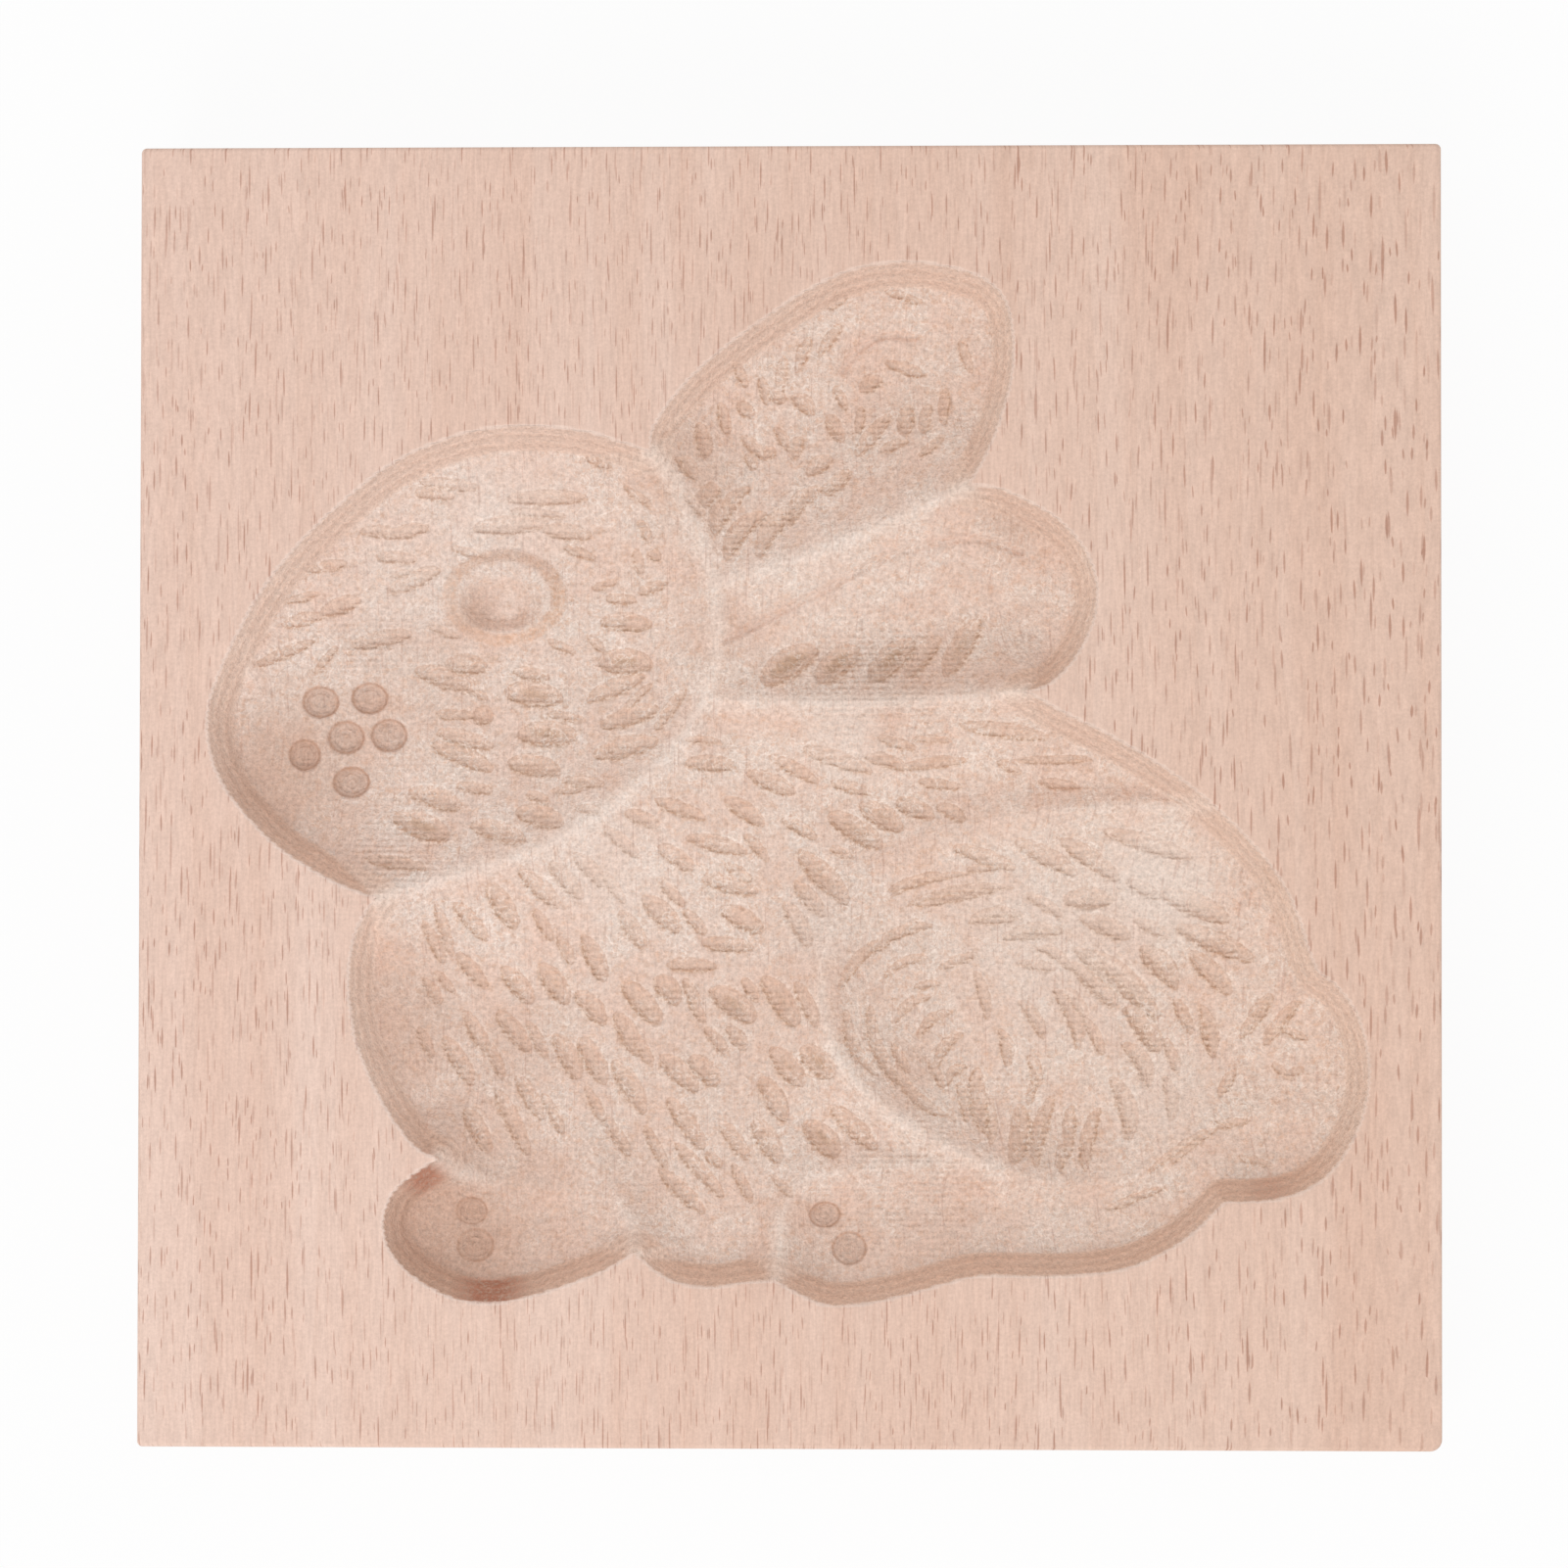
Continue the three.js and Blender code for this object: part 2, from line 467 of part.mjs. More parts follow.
// The floor as triangles that keep each step of the rim as an edge
function floorMesh(startRim, inner) {
  let rim = startRim;
  for (;;) {
    const points = [...rim, ...inner];
    const made = triangles(points);
    const edges = new Set(made.flatMap(([a, b, c]) => [`${a},${b}`, `${b},${c}`, `${c},${a}`]));
    const next = rim.flatMap((p, i) => {
      const j = (i + 1) % rim.length;
      if (edges.has(`${i},${j}`) || edges.has(`${j},${i}`)) return [p];
      return [p, [(p[0] + rim[j][0]) / 2, (p[1] + rim[j][1]) / 2]];
    });
    if (next.length === rim.length) {
      const within = ([a, b, c]) => insideOf(
        rim,
        (points[a][0] + points[b][0] + points[c][0]) / 3,
        (points[a][1] + points[b][1] + points[c][1]) / 3,
      );
      return { rim, points, made: made.filter(within) };
    }
    rim = next;
  }
}

// The edge of the board, anticlockwise, drawn in by a little
function boardRing(inset, z) {
  const [halfWide, halfHigh] = [BOARD_WIDTH / 2 - inset, BOARD_HEIGHT / 2 - inset];
  const corners = [
    [1, -1, WORN_CORNER_RADIUS], [1, 1, CORNER_RADIUS], [-1, 1, CORNER_RADIUS], [-1, -1, CORNER_RADIUS],
  ];
  return corners.flatMap(([right, up, radius], corner) => (
    Array.from({ length: CORNER_STEPS + 1 }, (_, i) => {
      const turn = (Math.PI / 2) * (corner - 1 + i / CORNER_STEPS);
      return [
        right * (halfWide - radius) + radius * Math.cos(turn),
        up * (halfHigh - radius) + radius * Math.sin(turn),
        z,
      ];
    })
  ));
}

// The whole board: back, edges, face and the cut floor, as one closed skin
function boardGeometry() {
  const crests = ridgeCurves();
  const details = floorDetails();
  const startRim = rimCurve();
  const { rim, points, made } = floorMesh(startRim, floorPoints(startRim, crests, details));
  const corners = [];
  const add = (...three) => three.forEach((p) => corners.push(...p));
  const rings = [
    boardRing(ARRIS, 0), boardRing(0, ARRIS), boardRing(0, BOARD_THICKNESS - ARRIS),
    boardRing(ARRIS, BOARD_THICKNESS),
  ];
  rings.slice(1).forEach((upper, k) => upper.forEach((p, i) => {
    const j = (i + 1) % upper.length;
    add(rings[k][i], rings[k][j], upper[j]);
    add(rings[k][i], upper[j], p);
  }));
  const flat = (list) => list.map(([x, y]) => new THREE.Vector2(x, y));
  const back = rings[0];
  THREE.ShapeUtils.triangulateShape(flat(back), []).forEach(([a, b, c]) => add(back[a], back[c], back[b]));
  const addUpward = (a, b, c) => {
    const turn = (b[0] - a[0]) * (c[1] - a[1]) - (b[1] - a[1]) * (c[0] - a[0]);
    if (turn > 0) add(a, b, c);
    else add(a, c, b);
  };
  const rimTop = rim.map(([x, y]) => [x, y, BOARD_THICKNESS]);
  const holeTop = rimTop.slice().reverse();
  const faceTop = [...rings[3], ...holeTop];
  THREE.ShapeUtils.triangulateShape(flat(rings[3]), [flat(holeTop)])
    .forEach((three) => addUpward(...three.map((i) => faceTop[i])));
  const floor = points.map(([x, y], i) => (
    rimTop[i] ?? [x, y, BOARD_THICKNESS - reliefDepth(startRim, crests, details, x, y)]
  ));
  made.forEach((three) => addUpward(...three.map((i) => floor[i])));
  const geometry = new THREE.BufferGeometry();
  geometry.setAttribute('position', new THREE.Float32BufferAttribute(corners, 3));
  geometry.computeVertexNormals();
  return geometry;
}

// Bare beech: pale, slightly pink, with a dull sanded face
function beech() {
  return new THREE.MeshStandardMaterial({ color: '#dfbead', roughness: 0.62, metalness: 0 });
}

const mould = new THREE.Group();
mould.name = 'cookie_mould';
const board = new THREE.Mesh(boardGeometry(), beech());
board.name = 'mould_board';
mould.add(board);

export default mould;
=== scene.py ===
import bpy
import math
import numpy as np
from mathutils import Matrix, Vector, noise
from mathutils.geometry import delaunay_2d_cdt
from mathutils.kdtree import KDTree


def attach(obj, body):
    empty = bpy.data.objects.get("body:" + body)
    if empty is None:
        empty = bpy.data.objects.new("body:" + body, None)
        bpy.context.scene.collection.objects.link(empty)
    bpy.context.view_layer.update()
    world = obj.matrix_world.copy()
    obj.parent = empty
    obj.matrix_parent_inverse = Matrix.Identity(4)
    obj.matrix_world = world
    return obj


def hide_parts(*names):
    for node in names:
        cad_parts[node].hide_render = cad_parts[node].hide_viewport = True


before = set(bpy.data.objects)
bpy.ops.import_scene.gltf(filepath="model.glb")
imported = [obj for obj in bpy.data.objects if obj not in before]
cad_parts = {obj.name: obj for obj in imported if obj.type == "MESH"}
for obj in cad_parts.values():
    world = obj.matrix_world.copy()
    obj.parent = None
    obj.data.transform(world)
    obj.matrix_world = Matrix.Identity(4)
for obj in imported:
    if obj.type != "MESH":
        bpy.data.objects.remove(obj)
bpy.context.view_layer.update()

# The board
# One square of solid beech, sawn from near the middle of a plank, thicknessed and planed smooth.
# Its edges are cross cut and only the arrises are eased; the lower right corner is knocked rounder.
mm = 0.001
board_width = 120.0  # across the grain
board_height = 120.0  # along the grain
board_thickness = 20.0
arris = 0.35
corner_radii = (1.1, 0.5, 0.5, 0.5)  # lower right, upper right, upper left, lower left
corner_steps = 6
arris_steps = 3


def board_ring(inset, z):
    """The outline of the board at a height, anticlockwise, drawn in by inset."""
    half = np.array([board_width / 2 - inset, board_height / 2 - inset])
    ring = []
    for corner, (way, radius) in enumerate(zip(((1, -1), (1, 1), (-1, 1), (-1, -1)), corner_radii)):
        for step in range(corner_steps + 1):
            turn = math.pi / 2 * (corner - 1 + step / corner_steps)
            x, y = np.array(way) * (half - radius) + radius * np.array([math.cos(turn), math.sin(turn)])
            ring.append((x, y, z))
    return ring


eased = [math.pi / 2 * step / arris_steps for step in range(arris_steps + 1)]
board_rings = [board_ring(arris * (1 - math.sin(turn)), arris * (1 - math.cos(turn))) for turn in eased]
board_rings += [
    board_ring(arris * (1 - math.cos(turn)), board_thickness - arris * (1 - math.sin(turn))) for turn in eased
]

# The rim of the figure
# A rabbit sitting in profile, sunk into the face with a small round cutter and gouges. The rim is
# where the cut meets the planed face: long smooth sweeps that end at a notch between two forms.
nose_margin = 6.3  # from the left edge of the board to the nose
tail_margin = 6.7  # from the end of the tail to the right edge
drawn_nose_x = 212  # the figure is drawn in units of its own, y down
drawn_tail_x = 1397
drawn_middle_y = 814
# It is drawn as seen from 70 cm above a point 31 mm right of the middle and 18 mm below it, which is
# where the camera is. What lies deep in the cut sits a little further out than it is drawn.
seen_from = np.array([30.8, -18.0])
seen_height = 700.0
floor_depth = 5.0
rim_runs = {
    "head": [
        (386, 918), (352, 906), (320, 889), (285, 866), (256, 838), (232, 808), (218, 778), (212, 742),
        (216, 712), (228, 680), (246, 642), (270, 600), (302, 560), (345, 518), (395, 478), (440, 455),
        (490, 440), (545, 436), (600, 442), (640, 454), (666, 463),
    ],
    "upper_ear": [
        (666, 463), (668, 440), (700, 394), (733, 363), (775, 331), (820, 301), (868, 278), (920, 269),
        (970, 274), (1005, 286), (1026, 306), (1035, 340), (1034, 385), (1024, 425), (1008, 465),
        (990, 497),
    ],
    "lower_ear": [
        (990, 497), (1018, 500), (1050, 513), (1085, 535), (1110, 565), (1121, 600), (1117, 637),
        (1098, 674), (1072, 700), (1048, 707),
    ],
    "back": [
        (1048, 707), (1090, 730), (1130, 750), (1180, 779), (1225, 811), (1270, 853), (1305, 895),
        (1325, 935), (1336, 970), (1345, 992),
    ],
    "tail": [
        (1345, 992), (1366, 1009), (1383, 1032), (1394, 1065), (1397, 1100), (1390, 1140), (1372, 1178),
        (1345, 1207), (1310, 1222), (1275, 1226), (1251, 1226),
    ],
    "hind_foot": [
        (1251, 1226), (1222, 1255), (1190, 1277), (1150, 1294), (1100, 1301), (1050, 1302),
        (1000, 1302), (960, 1312), (920, 1323), (880, 1331), (845, 1331), (815, 1319), (794, 1307),
    ],
    "belly": [
        (794, 1307), (765, 1309), (725, 1314), (690, 1308), (665, 1292), (652, 1279),
    ],
    "front_paw": [
        (652, 1279), (620, 1297), (580, 1313), (540, 1325), (500, 1331), (460, 1324), (421, 1301),
        (399, 1275), (394, 1248), (402, 1222), (424, 1201), (450, 1184),
    ],
    "chest": [
        (450, 1184), (430, 1175), (405, 1146), (382, 1106), (365, 1060), (358, 1010), (361, 970),
        (370, 942), (386, 918),
    ],
}
rim_step = 0.2
unit = (board_width - nose_margin - tail_margin) / (drawn_tail_x - drawn_nose_x)


def place(drawn, sunk=0.0):
    """Drawn points in millimetres, on the face or sunk below it. A third value runs along unchanged."""
    placed = []
    for p in drawn:
        x = nose_margin - board_width / 2 + (p[0] - drawn_nose_x) * unit
        at = np.array([x, (drawn_middle_y - p[1]) * unit])
        placed.append((*(at + (at - seen_from) * sunk / seen_height), *p[2:]))
    return placed


def smooth_curve(points, step):
    """A centripetal curve through the points, as points at even steps."""
    p = np.array(points, float)
    p = np.vstack([2 * p[0] - p[1], p, 2 * p[-1] - p[-2]])
    fine_steps = 40
    t = np.linspace(0, 1, fine_steps, endpoint=False)[:, None]
    pieces = []
    for a, b, c, d in zip(p, p[1:], p[2:], p[3:]):
        ab, bc, cd = (np.linalg.norm(v - u) ** 0.5 for u, v in ((a, b), (b, c), (c, d)))
        leave = ((b - a) / ab - (c - a) / (ab + bc) + (c - b) / bc) * bc
        reach = ((c - b) / bc - (d - b) / (bc + cd) + (d - c) / cd) * bc
        bend = 3 * c - 3 * b - 2 * leave - reach
        twist = 2 * b - 2 * c + leave + reach
        pieces.append(b + leave * t + bend * t**2 + twist * t**3)
    fine = np.vstack(pieces + [p[-2:-1]])
    run = np.append(0, np.cumsum(np.linalg.norm(np.diff(fine, axis=0), axis=1)))
    even = np.linspace(0, run[-1], max(2, round(run[-1] / step)) + 1)
    return np.stack([np.interp(even, run, fine[:, k]) for k in range(fine.shape[1])], 1)


def nearest(line, closed, points, reach=np.inf):
    """How far each point is from a line of points, up to reach, and the line's third value there."""
    near = ((points > line[:, :2].min(0) - reach) & (points < line[:, :2].max(0) + reach)).all(1)
    if not near.all():
        away, value = np.full(len(points), np.inf), np.zeros(len(points))
        away[near], value[near] = nearest(line, closed, points[near])
        return away, value
    tree = KDTree(len(line))
    for i, p in enumerate(line):
        tree.insert((p[0], p[1], 0), i)
    tree.balance()
    close = np.array([tree.find((x, y, 0))[1] for x, y in points])
    away = np.full(len(points), np.inf)
    value = np.zeros(len(points))
    for side in (-1, 0):
        start, end = close + side, close + side + 1
        if closed:
            start, end = start % len(line), end % len(line)
        else:
            start, end = np.clip(start, 0, len(line) - 1), np.clip(end, 0, len(line) - 1)
        a, b = line[start], line[end]
        along = b[:, :2] - a[:, :2]
        t = ((points - a[:, :2]) * along).sum(1) / np.maximum((along**2).sum(1), 1e-12)
        t = np.clip(t, 0, 1)[:, None]
        here = np.linalg.norm(points - a[:, :2] - t * along, axis=1)
        nearer = here < away
        away[nearer] = here[nearer]
        if line.shape[1] > 2:
            value[nearer] = ((1 - t) * a[:, 2:3] + t * b[:, 2:3])[nearer, 0]
    return away, value


def inside_of(loop, points):
    """Which points lie inside a closed line."""
    odd = np.zeros(len(points), bool)
    for a, b in zip(loop, np.roll(loop, 1, axis=0)):
        if a[1] == b[1]:
            continue
        crosses = (a[1] > points[:, 1]) != (b[1] > points[:, 1])
        odd ^= crosses & (points[:, 0] < (b[0] - a[0]) * (points[:, 1] - a[1]) / (b[1] - a[1]) + a[0])
    return odd


# The wood tears a little where the cutter leaves the face, so the rim wanders by some hundredths of
# a millimetre, slowly and quickly.
rag = 0.035
slow, quick = 2.4, 6.0  # waves to the millimetre
rim = np.vstack([smooth_curve(place(run), rim_step)[:-1] for run in rim_runs.values()])
ahead = np.roll(rim, -1, axis=0) - np.roll(rim, 1, axis=0)
outward = np.stack([-ahead[:, 1], ahead[:, 0]], 1) / np.linalg.norm(ahead, axis=1)[:, None]
wander = np.array([
    noise.noise((x * slow, y * slow, 0.5)) + 0.6 * noise.noise((x * quick, y * quick, 3.5))
    for x, y in rim
])
rim = rim + outward * (rag * wander)[:, None]

# Use has rounded the edge of the rim over a third of a millimetre.
worn_width = 0.36
worn_drop = 0.09
worn_steps = 4
least_gap = worn_width / worn_steps  # what comes closer to the rim, in its notches, is left out
worn = np.vstack([rim + outward * worn_width * step / worn_steps for step in range(1, worn_steps + 1)])
off_rim = nearest(rim, True, worn)[0]
free = ~inside_of(rim, worn) & (off_rim > least_gap)
worn, off_rim = worn[free], off_rim[free]

# The floor of the cut
# From the rim a steep wall drops 3.7 mm, and from its foot the floor sinks on like a pillow pressed
# in. Where two forms meet, a soft ridge of wood is left standing between them.
wall_run = 2.0
wall_depth = 3.7
crown_run = 16.0
crown_depth = 2.4
foot_blend = 0.25  # the foot of the wall is rounded off by this depth
shallowest = 0.02  # nowhere is the cut less deep than this
crest_radius = 0.35  # rounds off the top of a ridge
valley_blend = 0.4  # rounds off the line where two forms run into each other
crest_width = 1.5  # how far the paler, torn wood of a crest reaches on either side
lowest_bright_crest = 3.9  # deeper crests are as dark as the floor
floor_step = 0.2
row_share = 0.866  # height of an even triangle as a share of its side
clear_of_rim = 0.08  # no point of the floor lies closer to the rim
line_step = 0.25  # between the points of a line that runs along the floor
# Ridges: how far their flanks run, then x, y, and how far the crest lies below the face, in millimetres
ridges = {
    "cheek": (16.0, [
        (386, 918, 0), (440, 902, 1.1), (500, 886, 1.6), (580, 854, 1.9), (640, 811, 2.1),
        (690, 766, 2.6), (720, 715, 3.0), (733, 660, 3.0), (731, 598, 2.8), (712, 540, 2.8),
        (688, 488, 1.8), (666, 463, 0),
    ]),
    "between_ears": (16.0, [
        (731, 598, 2.8), (800, 577, 2.2), (860, 555, 1.7), (925, 527, 0.9), (990, 497, 0),
    ]),
    "under_ear": (11.0, [
        (722, 714, 3.0), (790, 718, 2.4), (860, 719, 1.9), (960, 715, 1.1), (1048, 707, 0),
    ]),
    "haunch": (9.0, [
        (1232, 824, 2.6), (1150, 823, 3.2), (1060, 830, 4.0), (985, 846, 4.6), (915, 878, 4.8),
        (868, 922, 4.4), (846, 968, 3.6), (842, 1020, 3.2), (856, 1075, 3.0), (895, 1123, 2.8),
        (950, 1160, 2.8), (1010, 1189, 3.2), (1090, 1206, 4.4), (1160, 1200, 4.6), (1200, 1174, 4.6),
        (1245, 1149, 4.7), (1301, 1137, 4.5), (1352, 1131, 4.2),
    ]),
    "hind_foot_top": (9.0, [
        (794, 1307, 0), (799, 1275, 2.2), (802, 1240, 3.2), (822, 1206, 3.6), (880, 1194, 3.6),
        (950, 1189, 3.4), (1010, 1189, 3.2),
    ]),
    "foreleg": (11.0, [
        (652, 1279, 0), (648, 1252, 2.4), (628, 1215, 3.9), (606, 1170, 4.4), (600, 1130, 4.9),
    ]),
    "front_paw_top": (11.0, [
        (450, 1184, 0), (476, 1199, 2.6), (520, 1209, 3.9), (600, 1213, 4.6),
    ]),
    "muzzle": (12.0, [
        (256, 686, 3.2), (300, 672, 4.6), (350, 667, 5.2), (400, 668, 5.4), (430, 685, 5.5),
        (438, 720, 5.6), (434, 752, 5.5), (420, 795, 5.2),
    ]),
}


def blended_least(a, b, blend):
    """The lesser of two depths, with the edge where they cross rounded off."""
    near = np.maximum(blend - np.abs(a - b), 0) / blend
    return np.minimum(a, b) - near**2 * blend / 4


def cut_depth(inward):
    """How deep the cut is at a distance in from the rim."""
    left = 1 - np.clip((inward - wall_run) / crown_run, -wall_run / crown_run, 1)
    wall = wall_depth * inward / wall_run
    return blended_least(wall, wall_depth + crown_depth * (1 - left**2), foot_blend)


def beside_crest(away, below, flank_run):
    """How deep the flank of a ridge is at a distance from its crest."""
    left = 1 - np.minimum(away / flank_run, 1)
    return below + (wall_depth + crown_depth - below) * (1 - left**2)


low, high = rim.min(0), rim.max(0)
grid_columns, grid_rows = ((high - low) / [floor_step, floor_step * row_share]).astype(int) + 1
grid_x, grid_y = np.meshgrid(np.arange(grid_columns), np.arange(grid_rows))
staggered_x = (grid_x + (grid_y % 2) / 2).ravel() * floor_step
floor = np.stack([staggered_x, grid_y.ravel() * floor_step * row_share], 1) + low
floor = floor[inside_of(rim, floor)]
to_rim = nearest(rim, True, floor)[0]
clear = to_rim > clear_of_rim
floor, to_rim = floor[clear], to_rim[clear]
depth = cut_depth(to_rim)
on_crest = np.zeros(len(floor))
for flank_run, ridge in ridges.values():
    crest_line = [place([p], p[2])[0] for p in ridge]
    away, below = nearest(smooth_curve(crest_line, line_step), False, floor, flank_run)
    high_crest = np.clip(lowest_bright_crest - below, 0, 1)
    on_crest = np.maximum(on_crest, np.maximum(1 - away / crest_width, 0) * high_crest)
    away = np.sqrt(away**2 + crest_radius**2) - crest_radius
    beside = beside_crest(away, below, flank_run)
    depth = blended_least(depth, beside, valley_blend)

# The fur
# Each tuft is one stroke of a small gouge: a boat-shaped hollow, pointed at both ends, with edges
# that wander a little. Strokes: from x, y to x, y, how wide, and on some of them how far the middle
# is bowed to one side.
tuft_depth = 0.4  # of a stroke of the width below; a narrower one is shallower
tuft_width = 1.5
tuft_wander = 0.12  # how far the edges of a stroke wander
wander_waves = 1.7  # to the millimetre
off_middle = 0.2  # how far above its middle a stroke is deepest, as a share of half its width
# A burr stands at the lower edge of each stroke, and a fine lip beyond its upper edge. The burr's
# band also carries painted shade on the stroke's lower side, which faces away from the lamp, and the
# lip a painted highlight on its upper side, which faces it. Each: its middle and half its width, as
# shares of half the stroke's width, and where on the stroke it starts and ends.
shaded_burr_and_lit_lip = ((0.9, 0.45, 0.0, 1.0), (-1.15, 0.35, 0.1, 0.95))
head_tufts = [
    (425, 505, 466, 508, 16), (430, 494, 492, 500, 12), (518, 511, 602, 510, 16),
    (484, 541, 560, 536, 20), (556, 542, 606, 549, 17), (520, 523, 580, 529, 10),
    (369, 545, 406, 545, 12), (394, 550, 440, 540, 14), (384, 570, 428, 573, 13),
    (396, 607, 450, 582, 17), (315, 585, 356, 577, 12), (292, 618, 328, 607, 9),
    (290, 641, 331, 630, 14), (328, 630, 369, 613, 18), (261, 683, 323, 656, 12),
    (359, 661, 422, 648, 17), (425, 686, 489, 705, 22), (456, 679, 498, 683, 21),
    (525, 687, 562, 694, 14), (516, 708, 576, 716, 26), (445, 731, 486, 732, 12),
    (484, 731, 504, 735, 21), (530, 752, 592, 754, 27), (446, 749, 505, 765, 17),
    (443, 762, 505, 788, 20), (520, 780, 575, 790, 23), (420, 810, 474, 826, 22),
    (468, 804, 506, 810, 12), (404, 836, 462, 858, 27), (484, 844, 541, 861, 21),
    (530, 831, 580, 843, 23), (576, 799, 622, 803, 12), (566, 809, 600, 809, 10),
    (378, 879, 442, 889, 13), (606, 603, 632, 594, 9), (620, 613, 652, 615, 13),
    (654, 607, 684, 598, 12), (614, 636, 668, 640, 20), (612, 678, 668, 680, 27),
    (600, 717, 661, 692, 18), (616, 744, 676, 725, 20), (672, 748, 704, 705, 13),
    (608, 774, 676, 759, 22), (655, 533, 667, 558, 12), (650, 562, 656, 590, 12),
    (664, 566, 676, 572, 13),
]
body_tufts = [
    (703, 757, 738, 759, 9), (703, 781, 754, 784, 17), (642, 832, 677, 845, 15),
    (672, 819, 724, 838, 15), (742, 816, 782, 844, 18), (621, 847, 656, 878, 14),
    (765, 791, 814, 812, 18), (788, 773, 837, 801, 14), (821, 766, 893, 790, 17),
    (675, 866, 710, 890, 18), (703, 857, 765, 872, 17), (762, 853, 786, 880, 12),
    (590, 873, 622, 909, 17), (565, 883, 597, 919, 18), (719, 898, 776, 913, 19),
    (672, 896, 700, 927, 13), (658, 917, 696, 953, 22), (737, 929, 781, 952, 21),
    (634, 931, 660, 970, 18), (816, 871, 868, 924, 24), (813, 902, 844, 937, 17),
    (803, 923, 830, 968, 19), (847, 833, 903, 867, 24), (880, 823, 923, 849, 24),
    (916, 820, 955, 836, 20), (959, 824, 986, 839, 15), (850, 866, 873, 878, 11),
    (502, 904, 529, 950, 22), (535, 891, 574, 928, 19), (436, 942, 456, 986, 13),
    (449, 924, 464, 979, 12), (468, 924, 500, 962, 17), (468, 975, 499, 1011, 16),
    (435, 1001, 453, 1027, 13), (447, 993, 466, 1016, 10), (515, 989, 545, 1026, 21),
    (553, 986, 581, 1027, 23), (572, 957, 586, 986, 13), (597, 956, 619, 1004, 20),
    (476, 1034, 499, 1077, 16), (509, 1034, 543, 1077, 19), (591, 1014, 619, 1047, 21),
    (637, 1004, 676, 1047, 23), (671, 999, 695, 1026, 23), (683, 987, 733, 988, 15),
    (630, 1035, 655, 1080, 20), (568, 1057, 593, 1103, 21), (593, 1060, 620, 1108, 22),
    (455, 1060, 485, 1110, 18), (530, 1099, 556, 1145, 17), (509, 1114, 542, 1180, 18),
    (478, 1132, 503, 1178, 18), (628, 1084, 660, 1137, 22), (676, 1079, 714, 1115, 22),
    (706, 1081, 736, 1109, 22), (684, 1122, 721, 1175, 19), (691, 1168, 741, 1223, 16),
    (676, 1196, 722, 1239, 17), (722, 1178, 740, 1193, 11), (719, 964, 771, 969, 16),
    (727, 1011, 773, 1044, 26), (781, 999, 817, 1049, 24), (815, 1004, 837, 1049, 16),
    (722, 1050, 746, 1081, 14), (744, 1050, 764, 1073, 16), (789, 1071, 822, 1111, 24),
    (820, 1071, 853, 1101, 27), (778, 1101, 804, 1145, 22), (824, 1146, 858, 1182, 26),
    (850, 1130, 897, 1174, 20), (771, 1145, 799, 1188, 23), (737, 1146, 766, 1184, 17),
    (750, 1189, 770, 1229, 12),
]
back_tufts = [
    (898, 755, 938, 767, 11), (932, 757, 975, 758, 8), (885, 774, 928, 785, 14),
    (920, 785, 990, 778, 12), (982, 743, 1074, 756, 16), (1020, 779, 1044, 791, 12),
    (1040, 779, 1118, 777, 9), (1038, 860, 1102, 894, 19), (1084, 858, 1144, 900, 20),
    (1128, 850, 1218, 878, 18), (975, 866, 1039, 888, 16), (909, 911, 963, 893, 12),
    (936, 925, 1030, 905, 14), (990, 943, 1047, 937, 11), (1087, 920, 1138, 920, 22),
    (1104, 938, 1156, 958, 20), (1025, 957, 1088, 951, 14), (1098, 969, 1186, 1040, 19),
    (1166, 970, 1203, 1008, 22), (1098, 986, 1142, 1028, 22), (1153, 1027, 1183, 1075, 22),
    (1186, 912, 1256, 942, 24), (1202, 947, 1280, 981, 22), (1215, 973, 1257, 1015, 21),
    (1228, 1029, 1240, 1080, 16),
]
haunch_tufts = [
    (911, 917, 991, 894, 9, 6), (926, 927, 1038, 908, 9, 8), (990, 943, 1047, 935, 12, 6),
    (1025, 960, 1085, 951, 11, 7), (1106, 971, 1183, 1044, 20, 9), (1090, 985, 1136, 1030, 18, 7),
    (1165, 968, 1202, 1010, 20, 6), (1148, 1030, 1184, 1075, 19, 6), (1077, 1010, 1102, 1071, 18, 8),
    (1041, 1022, 1067, 1062, 14, 4), (996, 992, 1010, 1042, 12, 3), (1022, 1050, 1030, 1090, 14, 3),
    (866, 1030, 900, 1100, 13, -10), (890, 1026, 924, 1110, 14, -10), (916, 1088, 970, 1140, 13, -9),
    (916, 1046, 954, 1018, 11, 7), (940, 1062, 975, 1034, 12, 7), (958, 1090, 986, 1056, 12, 6),
    (968, 1108, 990, 1088, 10, 4), (999, 1090, 1010, 1158, 19, -6), (1044, 1128, 1038, 1188, 22, -5),
    (1078, 1118, 1060, 1190, 16, 4), (1096, 1128, 1092, 1182, 14, 0), (1125, 1130, 1112, 1188, 15, 4),
    (1136, 1100, 1154, 1164, 20, 6), (1148, 1066, 1174, 1110, 19, 6), (1189, 1098, 1196, 1144, 14, 4),
    (1226, 1026, 1238, 1080, 14, 5), (860, 1012, 912, 958, 12, 8), (893, 975, 956, 946, 12, 8),
    (905, 1000, 950, 978, 10, 6), (1052, 1078, 1060, 1112, 13, 3), (1195, 1190, 1244, 1152, 9, 3),
    (1060, 968, 1094, 990, 12, 4), (1010, 1128, 1016, 1162, 10, 2),
]
